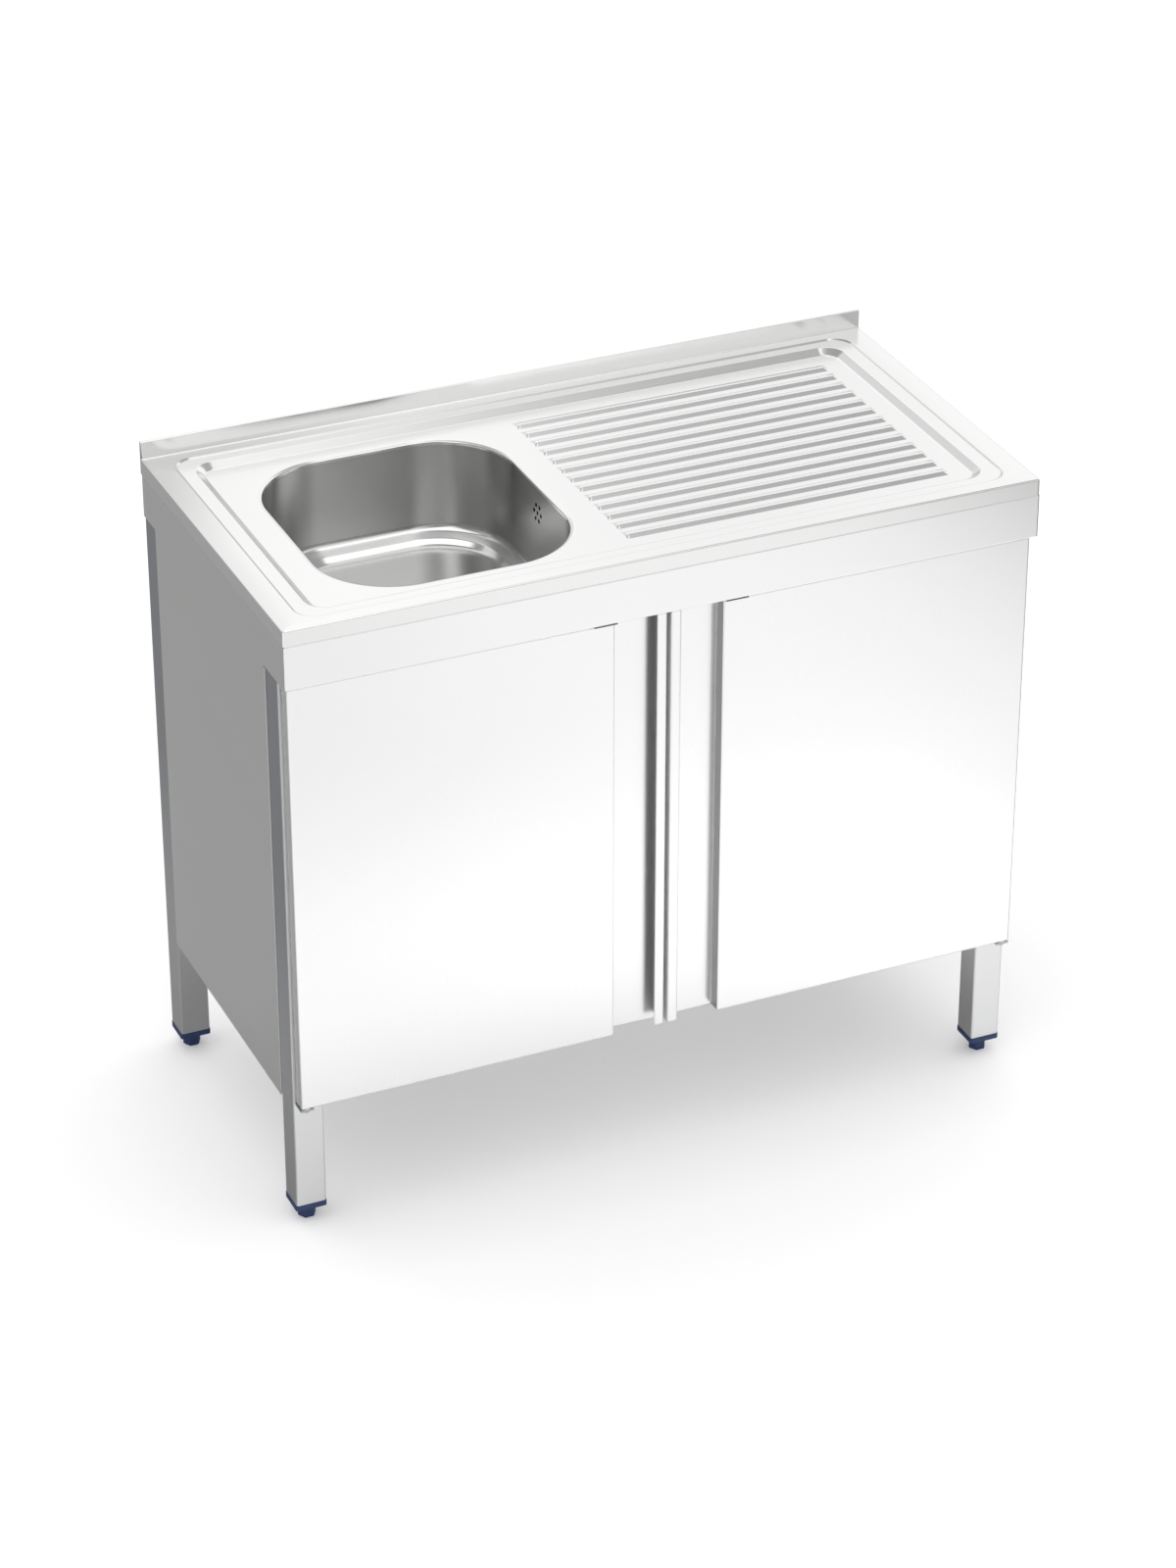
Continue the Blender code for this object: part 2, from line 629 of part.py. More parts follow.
def make_stiffener():
    """A hat-section channel bonded under the drainer."""
    x0 = BOWL_X1 + ROLL_RADIUS + RIB_BOWL_GAP
    x1 = FIELD_X - RIB_END_MARGIN
    middle = (FIELD_FRONT + FIELD_BACK) / 2
    top = FIELD_UNDERSIDE - GAP
    low = top - STIFFENER_HEIGHT
    half = STIFFENER_WIDTH / 2
    path = [(-half - STIFFENER_FLANGE, top), (-half, top), (-half, low), (half, low), (half, top),
            (half + STIFFENER_FLANGE, top)]
    panels = [quad((x0, middle + ya, za), (x1, middle + ya, za), (x1, middle + yb, zb), (x0, middle + yb, zb))
              for (ya, za), (yb, zb) in zip(path, path[1:])]
    folded("drainer_stiffener", panels, (0, 0, 1), SHEET, grained_steel())


def leg_corners():
    """The four legs by name, each with its limits in X and Y."""
    spans = {"left": (-LEG_X1, -LEG_X0), "right": (LEG_X0, LEG_X1)}
    rows = {"front": (LEG_FRONT, LEG_FRONT + LEG), "rear": (LEG_BACK - LEG, LEG_BACK)}
    return {f"{row}_{side}": (*spans[side], *rows[row]) for row in rows for side in spans}


def make_legs():
    """Square tube legs, the plugs in their ends and the screw feet."""
    for name, limits in leg_corners().items():
        hollow = grown(*limits, -LEG_WALL)
        inner = LEG_CORNER - LEG_WALL
        tube = [rounded_ring(*limits, LEG_CORNER, LEG_BOTTOM, ARC_STEPS),
                rounded_ring(*limits, LEG_CORNER, LEG_TOP, ARC_STEPS),
                rounded_ring(*hollow, inner, LEG_TOP, ARC_STEPS),
                rounded_ring(*hollow, inner, LEG_BOTTOM, ARC_STEPS)]
        solid(f"{name}_leg", tube, grained_steel(), closed=True)
        cx = (limits[0] + limits[1]) / 2
        cy = (limits[2] + limits[3]) / 2
        make_plug(f"{name}_foot_plug", limits, cx, cy)
        make_foot(f"{name}_foot", cx, cy)


def make_plug(name, limits, cx, cy):
    """The plastic plug that closes a leg and takes its screw foot."""
    cap = grown(*limits, PLUG_OVERHANG)
    spigot = grown(*limits, -LEG_WALL - GAP)
    corner = LEG_CORNER + PLUG_OVERHANG
    inner = LEG_CORNER - LEG_WALL
    low, seat, high = FOOT_HEIGHT, LEG_BOTTOM - GAP, LEG_BOTTOM + PLUG_SPIGOT
    bore = STUD_RADIUS + GAP
    rings = [rounded_ring(*cap, corner, low, ARC_STEPS), rounded_ring(*cap, corner, seat, ARC_STEPS),
             rounded_ring(*spigot, inner, seat, ARC_STEPS), rounded_ring(*spigot, inner, high, ARC_STEPS),
             square_ring(cx, cy, bore, bore - GAP, high, ARC_STEPS),
             square_ring(cx, cy, bore, bore - GAP, low, ARC_STEPS)]
    solid(name, rings, navy_plastic(), closed=True)


def make_foot(name, cx, cy):
    """A hexagonal screw foot with its stud, screwed fully in."""
    top = FOOT_HEIGHT - GAP
    rings = [hexagon_ring(cx, cy, FOOT_SIDE - FOOT_CHAMFER, 0), hexagon_ring(cx, cy, FOOT_SIDE, FOOT_CHAMFER),
             hexagon_ring(cx, cy, FOOT_SIDE, top), round_ring(cx, cy, STUD_RADIUS, top),
             round_ring(cx, cy, STUD_RADIUS, top + STUD_LENGTH)]
    solid(name, rings, navy_plastic(), origin=(cx, cy, 0))


def make_apron():
    """The front apron under the worktop's rim, with flanges turned back at its top and bottom."""
    x = PANEL_X
    inner = PANEL_X - SHEET - GAP
    face = [(-x, APRON_BOTTOM), (-inner, APRON_BOTTOM), (inner, APRON_BOTTOM), (x, APRON_BOTTOM),
            (x, APRON_TOP), (inner, APRON_TOP), (-inner, APRON_TOP), (-x, APRON_TOP)]
    panels = [[Vector((px, FRONT, pz)) for px, pz in face]]
    for z, reach in ((APRON_TOP, FRONT + APRON_FLANGE), (APRON_BOTTOM, LEG_FRONT - GAP)):
        panels.append(quad((-inner, FRONT, z), (inner, FRONT, z), (inner, reach, z), (-inner, reach, z)))
    folded("front_apron", panels, (0, -1, 0), SHEET, satin_steel())


def make_rear_rail():
    """The folded rail between the rear legs, under the worktop."""
    x = LEG_X0 - GAP
    low = APRON_TOP - RAIL_HEIGHT
    front = LEG_BACK - RAIL_FLANGE
    path = [(front, APRON_TOP), (LEG_BACK, APRON_TOP), (LEG_BACK, low), (front, low)]
    panels = [quad((-x, ya, za), (x, ya, za), (x, yb, zb), (-x, yb, zb))
              for (ya, za), (yb, zb) in zip(path, path[1:])]
    folded("rear_rail", [panels[1], panels[0], panels[2]], (0, 1, 0), SHEET, satin_steel())


def make_side_panel(name, side):
    """A side panel: full depth beside the apron, and between the legs below it."""
    x = side * PANEL_X
    y0, y1 = FRONT + SHEET + GAP, LEG_BACK
    y2, y3 = LEG_FRONT + LEG + PANEL_GAP, LEG_BACK - LEG - PANEL_GAP
    low, mid, high = PANEL_BOTTOM, APRON_BOTTOM, APRON_TOP
    f0, f1 = y2 + RELIEF, y3 - RELIEF
    outline = [(y0, high), (y0, mid), (y2, mid), (y2, mid - RELIEF), (y2, low + RELIEF), (y2, low), (f0, low),
               (f1, low), (y3, low), (y3, low + RELIEF), (y3, mid - RELIEF), (y3, mid), (y1, mid), (y1, high)]
    panels = [[Vector((x, y, z)) for y, z in outline]]
    turned = x - side * PANEL_FLANGE
    for y in (y2, y3):
        panels.append(quad((x, y, mid - RELIEF), (x, y, low + RELIEF),
                           (turned, y, low + RELIEF), (turned, y, mid - RELIEF)))
    turned = x - side * BOTTOM_FLANGE
    panels.append(quad((x, f0, low), (x, f1, low), (turned, f1, low), (turned, f0, low)))
    folded(name, panels, (side, 0, 0), SHEET, satin_steel())


def make_back_panel():
    """The back panel between the rear legs, open above for the supply and waste pipes."""
    x = LEG_X0 - GAP
    low, high = PANEL_BOTTOM, PANEL_BOTTOM + BACK_PANEL_HEIGHT
    inner = x - RELIEF
    outline = [(-x, low), (-inner, low), (inner, low), (x, low), (x, low + RELIEF), (x, high - RELIEF),
               (x, high), (inner, high), (-inner, high), (-x, high), (-x, high - RELIEF), (-x, low + RELIEF)]
    panels = [[Vector((px, LEG_BACK, pz)) for px, pz in outline]]
    turned = LEG_BACK - PANEL_FLANGE
    for px in (-x, x):
        panels.append(quad((px, LEG_BACK, low + RELIEF), (px, LEG_BACK, high - RELIEF),
                           (px, turned, high - RELIEF), (px, turned, low + RELIEF)))
    for z in (low, high):
        panels.append(quad((-inner, LEG_BACK, z), (inner, LEG_BACK, z), (inner, turned, z), (-inner, turned, z)))
    folded("back_panel", panels, (0, 1, 0), SHEET, satin_steel())


def make_shelf():
    """The bottom shelf, notched round the legs, standing with its folds on the panels' flanges."""
    foot = PANEL_BOTTOM + SHEET + GAP
    top = foot + SHELF_FOLD
    wide = PANEL_X - SHEET - GAP
    narrow = LEG_X0 - GAP - SHEET - GAP
    y0 = LEG_FRONT + SHELF_SETBACK
    y1 = LEG_FRONT + LEG + PANEL_GAP + SHEET + GAP
    y2 = LEG_BACK - LEG - PANEL_GAP - SHEET - GAP
    y3 = LEG_BACK - SHEET - GAP
    outline = [(-narrow, y0), (narrow, y0), (narrow, y1), (wide, y1), (wide, y2), (narrow, y2),
               (narrow, y3), (-narrow, y3), (-narrow, y2), (-wide, y2), (-wide, y1), (-narrow, y1)]
    panels = [[Vector((px, py, top)) for px, py in outline]]
    for y in (y0, y3):
        panels.append(quad((-narrow, y, top), (narrow, y, top), (narrow, y, foot), (-narrow, y, foot)))
    for x in (-wide, wide):
        panels.append(quad((x, y1, top), (x, y2, top), (x, y2, foot), (x, y1, foot)))
    folded("bottom_shelf", panels, (0, 0, 1), SHEET, satin_steel())


def make_door(name, side):
    """A hollow door with a folded finger grip along its meeting edge, on two pivot bushes."""
    axis = Vector((side * PIVOT_X, PIVOT_Y, 0))
    low, high = DOOR_BOTTOM, DOOR_TOP
    path = [(DOOR_X1, DOOR_EDGE), (DOOR_X1, DOOR_FACE), (HANDLE_X, DOOR_FACE), (HANDLE_X, DOOR_EDGE),
            (DOOR_X0 + SHEET, DOOR_EDGE), (DOOR_X0 + SHEET, DOOR_FACE + SHEET),
            (DOOR_X0 + LIP_WIDTH, DOOR_FACE + SHEET)]
    walls = [quad((side * xa, ya, low), (side * xb, yb, low), (side * xb, yb, high), (side * xa, ya, high))
             for (xa, ya), (xb, yb) in zip(path, path[1:])]
    ends = []
    for z in (low, high):
        cover = [Vector((side * x, y, z)) for x, y in path[:4]]
        ends.append((cover, [round_ring(axis.x, axis.y, BUSH_RADIUS + GAP, z, HOLE_STEPS)]))
    panels = [walls[1], walls[0]] + walls[2:] + ends
    folded(f"{name}_door_skin", panels, (0, -1, 0), SHEET, satin_steel(), origin=axis)
    make_liner(f"{name}_door_liner", side, axis)
    for end, z, up in (("lower", low, 1), ("upper", high, -1)):
        make_bush(f"{name}_{end}_bush", axis, z, up)


def make_liner(name, side, axis):
    """The tray that closes the back of a door, set between the skin's folds."""
    fit = SHEET + GAP
    x0, x1 = side * (HANDLE_X + fit), side * (DOOR_X1 - fit)
    z0, z1 = DOOR_BOTTOM + fit, DOOR_TOP - fit
    front = DOOR_EDGE - LINER_FLANGE
    clear = PIVOT_SIDE + BUSH_RADIUS + BUSH_COLLAR + GAP
    x2 = side * (DOOR_X1 - clear)
    corners = [(x0, z0), (x1, z0), (x1, z1), (x0, z1)]
    panels = [[Vector((x, DOOR_EDGE, z)) for x, z in [(x0, z0), (x2, z0), (x1, z0), (x1, z1), (x2, z1), (x0, z1)]]]
    for (xa, za), (xb, zb) in zip(corners, corners[1:] + corners[:1]):
        if za == zb:
            xa, xb = x0, x2
        panels.append(quad((xa, DOOR_EDGE, za), (xb, DOOR_EDGE, zb), (xb, front, zb), (xa, front, za)))
    folded(name, panels, (0, 1, 0), SHEET, satin_steel(), origin=axis)


def make_bush(name, axis, z, up):
    """A nylon bush in a door's end fold, with its collar outside the door."""
    seat = z - up * GAP
    face = seat - up * BUSH_COLLAR_THICKNESS
    collar = BUSH_RADIUS + GAP + BUSH_COLLAR
    profile = [(BUSH_BORE, face), (collar, face), (collar, seat), (BUSH_RADIUS, seat),
               (BUSH_RADIUS, z + up * BUSH_LENGTH), (BUSH_BORE, z + up * BUSH_LENGTH)]
    rings = [round_ring(axis.x, axis.y, r, level, HOLE_STEPS) for r, level in profile]
    solid(name, rings, white_nylon(), closed=True, origin=axis)


def make_bracket(name, side, z0, z1):
    """A pivot tab in front of a leg, with the hole for its pin."""
    axis = Vector((side * PIVOT_X, PIVOT_Y, 0))
    x0, x1 = axis.x - BRACKET_WIDTH / 2, axis.x + BRACKET_WIDTH / 2
    y0, y1 = DOOR_FACE + BRACKET_FRONT_INSET, LEG_FRONT - GAP
    tab = quad((x0, y0, z1), (x1, y0, z1), (x1, y1, z1), (x0, y1, z1))
    hole = round_ring(axis.x, axis.y, PIN_RADIUS + GAP, z1, HOLE_STEPS)
    folded(name, [(tab, [hole])], (0, 0, 1), z1 - z0, zinc_steel(), bend=0)


def make_pivots(name, side):
    """The fixed tabs and pins that a door turns on."""
    axis = Vector((side * PIVOT_X, PIVOT_Y, 0))
    tab_top = DOOR_BOTTOM - BUSH_COLLAR_THICKNESS - 2 * GAP
    tab_low = tab_top - BRACKET_THICKNESS
    make_bracket(f"{name}_lower_bracket", side, tab_low, tab_top)
    head = tab_low - GAP
    pin = [(PIN_HEAD, head - PIN_HEAD_THICKNESS), (PIN_HEAD, head), (PIN_RADIUS, head),
           (PIN_RADIUS, DOOR_BOTTOM + PIN_REACH)]
    rings = [round_ring(axis.x, axis.y, r, z, HOLE_STEPS) for r, z in pin]
    solid(f"{name}_lower_pin", rings, zinc_steel())
    top = APRON_BOTTOM - GAP
    make_bracket(f"{name}_upper_bracket", side, top - UPPER_BRACKET_THICKNESS, top)
    rings = [round_ring(axis.x, axis.y, PIN_RADIUS, z, HOLE_STEPS) for z in (DOOR_TOP - PIN_REACH, top)]
    solid(f"{name}_upper_pin", rings, zinc_steel())


def make_catch(name, side):
    """A magnetic catch under the apron, and the strike plate on the door's back that meets it."""
    axis = Vector((side * PIVOT_X, PIVOT_Y, 0))
    x0, x1 = side * HANDLE_X, side * (HANDLE_X + CATCH_WIDTH)
    top = APRON_BOTTOM - GAP
    low = top - CATCH_THICKNESS
    face = DOOR_EDGE + GAP + STRIKE_THICKNESS + GAP
    back = face + CATCH_TONGUE
    profile = [(FRONT + CATCH_FRONT_INSET, top), (FRONT + CATCH_FRONT_INSET, low), (face, low),
               (face, top - CATCH_TONGUE_DROP), (back, top - CATCH_TONGUE_DROP), (back, top)]
    rings = [[Vector((x, y, z)) for y, z in profile] for x in (x0, x1)]
    solid(f"{name}_door_catch", rings, dark_plastic())
    fit = SHEET + GAP
    edge = DOOR_TOP - fit
    block(f"{name}_strike_plate", x0 + side * fit, x1, DOOR_EDGE + GAP, DOOR_EDGE + GAP + STRIKE_THICKNESS,
          edge - STRIKE_HEIGHT, edge, zinc_steel(), origin=axis)


def main():
    clear_scene()
    make_worktop()
    make_bowl()
    make_stiffener()
    make_waste()
    make_overflow()
    make_legs()
    make_apron()
    make_rear_rail()
    make_back_panel()
    make_shelf()
    for name, side in (("left", -1), ("right", 1)):
        make_side_panel(f"{name}_side_panel", side)
        make_door(name, side)
        make_pivots(name, side)
        make_catch(name, side)


main()
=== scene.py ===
import math

import bmesh
import bpy
import numpy as np
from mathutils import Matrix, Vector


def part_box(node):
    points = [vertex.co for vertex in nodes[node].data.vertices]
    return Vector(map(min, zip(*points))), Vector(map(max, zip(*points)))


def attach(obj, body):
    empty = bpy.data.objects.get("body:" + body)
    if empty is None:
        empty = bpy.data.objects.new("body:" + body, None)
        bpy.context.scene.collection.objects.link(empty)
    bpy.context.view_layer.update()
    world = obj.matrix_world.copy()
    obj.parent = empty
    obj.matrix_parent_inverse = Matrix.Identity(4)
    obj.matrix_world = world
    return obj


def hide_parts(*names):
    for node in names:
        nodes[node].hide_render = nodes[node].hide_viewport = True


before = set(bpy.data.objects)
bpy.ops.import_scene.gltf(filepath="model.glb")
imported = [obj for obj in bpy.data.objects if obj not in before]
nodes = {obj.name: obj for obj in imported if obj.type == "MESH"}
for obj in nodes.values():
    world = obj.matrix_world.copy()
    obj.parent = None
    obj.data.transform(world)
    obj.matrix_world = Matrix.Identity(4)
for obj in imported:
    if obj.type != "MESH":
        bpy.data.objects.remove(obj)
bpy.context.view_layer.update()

# Legs: four lengths of 40 mm square stainless tube, blasted to a fine matt grain and sawn off square. The worktop's
# ledge rests on their upper ends, and the lower ends take the plugs of the screw feet.
LEG_NODES = ("front_left_leg", "front_right_leg", "rear_left_leg", "rear_right_leg")


def metal_grain():
    """Node group for rolled and ground metal. Scratch is a noise drawn out along one axis by unequal scratches per
    metre; Cloud is a broad noise, the unevenness of the sheet. Both run from 0 to 1."""
    group = bpy.data.node_groups.new("metal_grain", "ShaderNodeTree")
    sockets = group.interface
    sockets.new_socket("Vector", in_out="INPUT", socket_type="NodeSocketVector")
    sockets.new_socket("Scratches", in_out="INPUT", socket_type="NodeSocketVector")
    sockets.new_socket("Clouds", in_out="INPUT", socket_type="NodeSocketFloat")
    sockets.new_socket("Scratch", in_out="OUTPUT", socket_type="NodeSocketFloat")
    sockets.new_socket("Cloud", in_out="OUTPUT", socket_type="NodeSocketFloat")
    given = group.nodes.new("NodeGroupInput")
    result = group.nodes.new("NodeGroupOutput")
    drawn = group.nodes.new("ShaderNodeVectorMath")
    drawn.operation = "MULTIPLY"
    fine = group.nodes.new("ShaderNodeTexNoise")
    fine.inputs["Scale"].default_value = 1.0
    fine.inputs["Detail"].default_value = 3.0
    fine.inputs["Roughness"].default_value = 0.65
    broad = group.nodes.new("ShaderNodeTexNoise")
    broad.inputs["Detail"].default_value = 2.0
    join = group.links.new
    join(given.outputs["Vector"], drawn.inputs[0])
    join(given.outputs["Scratches"], drawn.inputs[1])
    join(drawn.outputs["Vector"], fine.inputs["Vector"])
    join(given.outputs["Vector"], broad.inputs["Vector"])
    join(given.outputs["Clouds"], broad.inputs["Scale"])
    join(fine.outputs["Fac"], result.inputs["Scratch"])
    join(broad.outputs["Fac"], result.inputs["Cloud"])
    return group


METAL_GRAIN = metal_grain()


def blank(name):
    """A material with its principled shader, and the functions that add a node and a link to it."""
    material = bpy.data.materials.new(name)
    material.use_nodes = True
    tree = material.node_tree
    return material, tree.nodes["Principled BSDF"], tree.nodes.new, tree.links.new


def ground_steel(name, dull, bright, smooth, rough, scratches, clouds=7.0, relief=0.05, edge=0.0):
    """Stainless steel: colour from dull to bright with the clouds and scratches, roughness from smooth to rough with
    the scratches, which also dent the surface a little. Folded sheet has its bends rounded to an edge radius."""
    material, shader, add, join = blank(name)
    place = add("ShaderNodeTexCoord")
    grain = add("ShaderNodeGroup")
    grain.node_tree = METAL_GRAIN
    grain.inputs["Scratches"].default_value = scratches
    grain.inputs["Clouds"].default_value = clouds
    blend = add("ShaderNodeMath")
    blend.operation = "MULTIPLY_ADD"
    blend.inputs[1].default_value = 0.55
    tone = add("ShaderNodeMix")
    tone.data_type = "RGBA"
    tone.inputs["A"].default_value = (*dull, 1)
    tone.inputs["B"].default_value = (*bright, 1)
    half = add("ShaderNodeMath")
    half.operation = "MULTIPLY"
    half.inputs[1].default_value = 0.45
    gloss = add("ShaderNodeMapRange")
    gloss.inputs["From Min"].default_value = 0.25
    gloss.inputs["From Max"].default_value = 0.75
    gloss.inputs["To Min"].default_value = smooth
    gloss.inputs["To Max"].default_value = rough
    dent = add("ShaderNodeBump")
    dent.inputs["Strength"].default_value = relief
    dent.inputs["Distance"].default_value = 0.0002
    join(place.outputs["Object"], grain.inputs["Vector"])
    join(grain.outputs["Scratch"], blend.inputs[0])
    join(grain.outputs["Cloud"], half.inputs[0])
    join(half.outputs["Value"], blend.inputs[2])
    join(blend.outputs["Value"], tone.inputs["Factor"])
    join(tone.outputs["Result"], shader.inputs["Base Color"])
    join(grain.outputs["Scratch"], gloss.inputs["Value"])
    join(gloss.outputs["Result"], shader.inputs["Roughness"])
    join(grain.outputs["Scratch"], dent.inputs["Height"])
    join(dent.outputs["Normal"], shader.inputs["Normal"])
    shader.inputs["Metallic"].default_value = 1.0
    if edge:
        bend = add("ShaderNodeBevel")
        bend.samples = 6
        bend.inputs["Radius"].default_value = edge
        join(bend.outputs["Normal"], dent.inputs["Normal"])
    return material


def fade(tree, value, start, end, low, high):
    """A map-range node that goes over smoothly from low to high as its value goes from start to end. All four are
    numbers or the outputs of other nodes."""
    node = tree.nodes.new("ShaderNodeMapRange")
    node.interpolation_type = "SMOOTHSTEP"
    tree.links.new(value, node.inputs["Value"])
    for socket, amount in (("From Min", start), ("From Max", end), ("To Min", low), ("To Max", high)):
        if isinstance(amount, float):
            node.inputs[socket].default_value = amount
        else:
            tree.links.new(amount, node.inputs[socket])
    return node.outputs["Result"]


def places(tree):
    """The three Object coordinates of a material as outputs of a node."""
    place = tree.nodes.new("ShaderNodeTexCoord")
    apart = tree.nodes.new("ShaderNodeSeparateXYZ")
    tree.links.new(place.outputs["Object"], apart.inputs["Vector"])
    return apart.outputs


def overlay(material, mask, colour, rough):
    """Goes over from a finish to a second colour and roughness as a mask goes from 0 to 1."""
    tree = material.node_tree
    shader = tree.nodes["Principled BSDF"]
    mix = tree.nodes.new("ShaderNodeMix")
    mix.data_type = "RGBA"
    mix.inputs["B"].default_value = (*colour, 1)
    tree.links.new(mask, mix.inputs["Factor"])
    tree.links.new(shader.inputs["Base Color"].links[0].from_socket, mix.inputs["A"])
    tree.links.new(mix.outputs["Result"], shader.inputs["Base Color"])
    even = shader.inputs["Roughness"].links[0].from_socket
    tree.links.new(fade(tree, mask, 0.0, 1.0, even, rough), shader.inputs["Roughness"])


def dress(material, *names):
    """Gives CAD nodes their finish."""
    for name in names:
        slots = nodes[name].data.materials
        slots.clear()
        slots.append(material)


LEG_SIDE, LEG_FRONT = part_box("front_left_leg")[0][:2]
DOOR_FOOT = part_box("left_door_skin")[0][2]
LEG_STEEL = ground_steel("blasted_leg_steel", (0.66, 0.665, 0.66), (0.85, 0.86, 0.855), 0.30, 0.42, (360, 360, 360),
                         relief=0.10)
LEG_TREE = LEG_STEEL.node_tree
LEG_PLACE = places(LEG_TREE)
# painted shade and light: the left legs' outer faces are painted darker and a little blue as shade, the tubes darker on
# the way up as the shade under the worktop, and their fronts behind the doors lighter and matt to lift the shade of the
# gap
LEG_SIDE_SHADE = fade(LEG_TREE, LEG_PLACE["X"], LEG_SIDE + 0.0004, LEG_SIDE + 0.0008, 1.0, 0.0)
LEG_UPPER_SHADE = fade(LEG_TREE, LEG_PLACE["Z"], 0.15, 0.55, 0.0, 1.0)
LEG_GAP_LIGHT = fade(LEG_TREE, LEG_PLACE["Y"], LEG_FRONT + 0.0005, LEG_FRONT + 0.001, 1.0, 0.0)
LEG_GAP_LIGHT = fade(LEG_TREE, LEG_PLACE["Z"], DOOR_FOOT - 0.002, DOOR_FOOT, 0.0, LEG_GAP_LIGHT)
overlay(LEG_STEEL, LEG_SIDE_SHADE, (0.64, 0.645, 0.66), 0.36)
overlay(LEG_STEEL, LEG_UPPER_SHADE, (0.425, 0.44, 0.465), 0.40)
overlay(LEG_STEEL, LEG_GAP_LIGHT, (0.85, 0.85, 0.85), 0.9)
dress(LEG_STEEL, *LEG_NODES)

# Foot plugs and screw feet: moulded navy polyamide. The plug is driven into the tube with its flange under the sawn
# end, and the hexagonal foot's stud screws into it.
FOOT_NODES = ("front_left_foot", "front_right_foot", "rear_left_foot", "rear_right_foot")
PLUG_NODES = tuple(name + "_plug" for name in FOOT_NODES)


def mould_grain():
    """Node group for moulded plastic and rubber. Pit is a fine noise, the eroded skin of the mould; Flow is a broad
    noise, the colour's unevenness. Both run from 0 to 1."""
    group = bpy.data.node_groups.new("mould_grain", "ShaderNodeTree")
    sockets = group.interface
    sockets.new_socket("Vector", in_out="INPUT", socket_type="NodeSocketVector")
    sockets.new_socket("Pits", in_out="INPUT", socket_type="NodeSocketFloat")
    sockets.new_socket("Pit", in_out="OUTPUT", socket_type="NodeSocketFloat")
    sockets.new_socket("Flow", in_out="OUTPUT", socket_type="NodeSocketFloat")
    given = group.nodes.new("NodeGroupInput")
    result = group.nodes.new("NodeGroupOutput")
    pits = group.nodes.new("ShaderNodeTexNoise")
    pits.inputs["Detail"].default_value = 2.0
    flow = group.nodes.new("ShaderNodeTexNoise")
    flow.inputs["Scale"].default_value = 60.0
    join = group.links.new
    join(given.outputs["Vector"], pits.inputs["Vector"])
    join(given.outputs["Pits"], pits.inputs["Scale"])
    join(given.outputs["Vector"], flow.inputs["Vector"])
    join(pits.outputs["Fac"], result.inputs["Pit"])
    join(flow.outputs["Fac"], result.inputs["Flow"])
    return group


MOULD_GRAIN = mould_grain()


def moulded(name, deep, pale, smooth, rough, pits=1400.0, relief=0.12):
    """Moulded plastic or rubber: colour from deep to pale with the flow, roughness and dents with the pits."""
    material, shader, add, join = blank(name)
    place = add("ShaderNodeTexCoord")
    skin = add("ShaderNodeGroup")
    skin.node_tree = MOULD_GRAIN
    skin.inputs["Pits"].default_value = pits
    tone = add("ShaderNodeMix")
    tone.data_type = "RGBA"
    tone.inputs["A"].default_value = (*deep, 1)
    tone.inputs["B"].default_value = (*pale, 1)
    gloss = add("ShaderNodeMapRange")
    gloss.inputs["To Min"].default_value = smooth
    gloss.inputs["To Max"].default_value = rough
    dent = add("ShaderNodeBump")
    dent.inputs["Strength"].default_value = relief
    dent.inputs["Distance"].default_value = 0.0002
    join(place.outputs["Object"], skin.inputs["Vector"])
    join(skin.outputs["Flow"], tone.inputs["Factor"])
    join(tone.outputs["Result"], shader.inputs["Base Color"])
    join(skin.outputs["Pit"], gloss.inputs["Value"])
    join(gloss.outputs["Result"], shader.inputs["Roughness"])
    join(skin.outputs["Pit"], dent.inputs["Height"])
    join(dent.outputs["Normal"], shader.inputs["Normal"])
    return material


dress(moulded("navy_polyamide", (0.010, 0.024, 0.085), (0.018, 0.040, 0.130), 0.38, 0.55), *PLUG_NODES, *FOOT_NODES)

# Cabinet sheets: side panels, back panel, bottom shelf and rear rail, all folded from 0.8 mm satin stainless sheet and
# riveted to the legs. The sheets keep the fine vertical grain of the coil.
SIDE_STEEL = ground_steel("satin_side_sheet", (0.80, 0.80, 0.795), (0.85, 0.85, 0.845), 0.30, 0.40, (1100, 1100, 30))
SIDE_TREE = SIDE_STEEL.node_tree
SIDE_PLACE = places(SIDE_TREE)
# painted shade: the front edge beside the apron is painted dark as the shadow gap there, and the fold behind the front
# leg is painted a little darker, and made rougher, as the shade beside the leg
SHORN_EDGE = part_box("left_side_panel")[0][1]
PANEL_GAP = 0.001
FOLD_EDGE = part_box("front_left_leg")[1][1] + PANEL_GAP
APRON_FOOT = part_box("front_apron")[0][2]
PANEL_EDGE_SHADE = fade(SIDE_TREE, SIDE_PLACE["Y"], SHORN_EDGE + 0.0001, SHORN_EDGE + 0.0006, 1.0, 0.0)
FOLD_SHADE = fade(SIDE_TREE, SIDE_PLACE["Y"], FOLD_EDGE + 0.0006, FOLD_EDGE + 0.0014, 1.0, 0.0)
FOLD_SHADE = fade(SIDE_TREE, SIDE_PLACE["Z"], APRON_FOOT - 0.001, APRON_FOOT, FOLD_SHADE, 0.0)
overlay(SIDE_STEEL, PANEL_EDGE_SHADE, (0.20, 0.20, 0.20), 0.55)
overlay(SIDE_STEEL, FOLD_SHADE, (0.62, 0.62, 0.62), 0.5)
dress(SIDE_STEEL, "left_side_panel", "right_side_panel")
BACK_STEEL = ground_steel("satin_back_sheet", (0.74, 0.74, 0.74), (0.84, 0.84, 0.84), 0.30, 0.42, (40, 1000, 1000))
dress(BACK_STEEL, "back_panel", "bottom_shelf", "rear_rail", "drainer_stiffener")
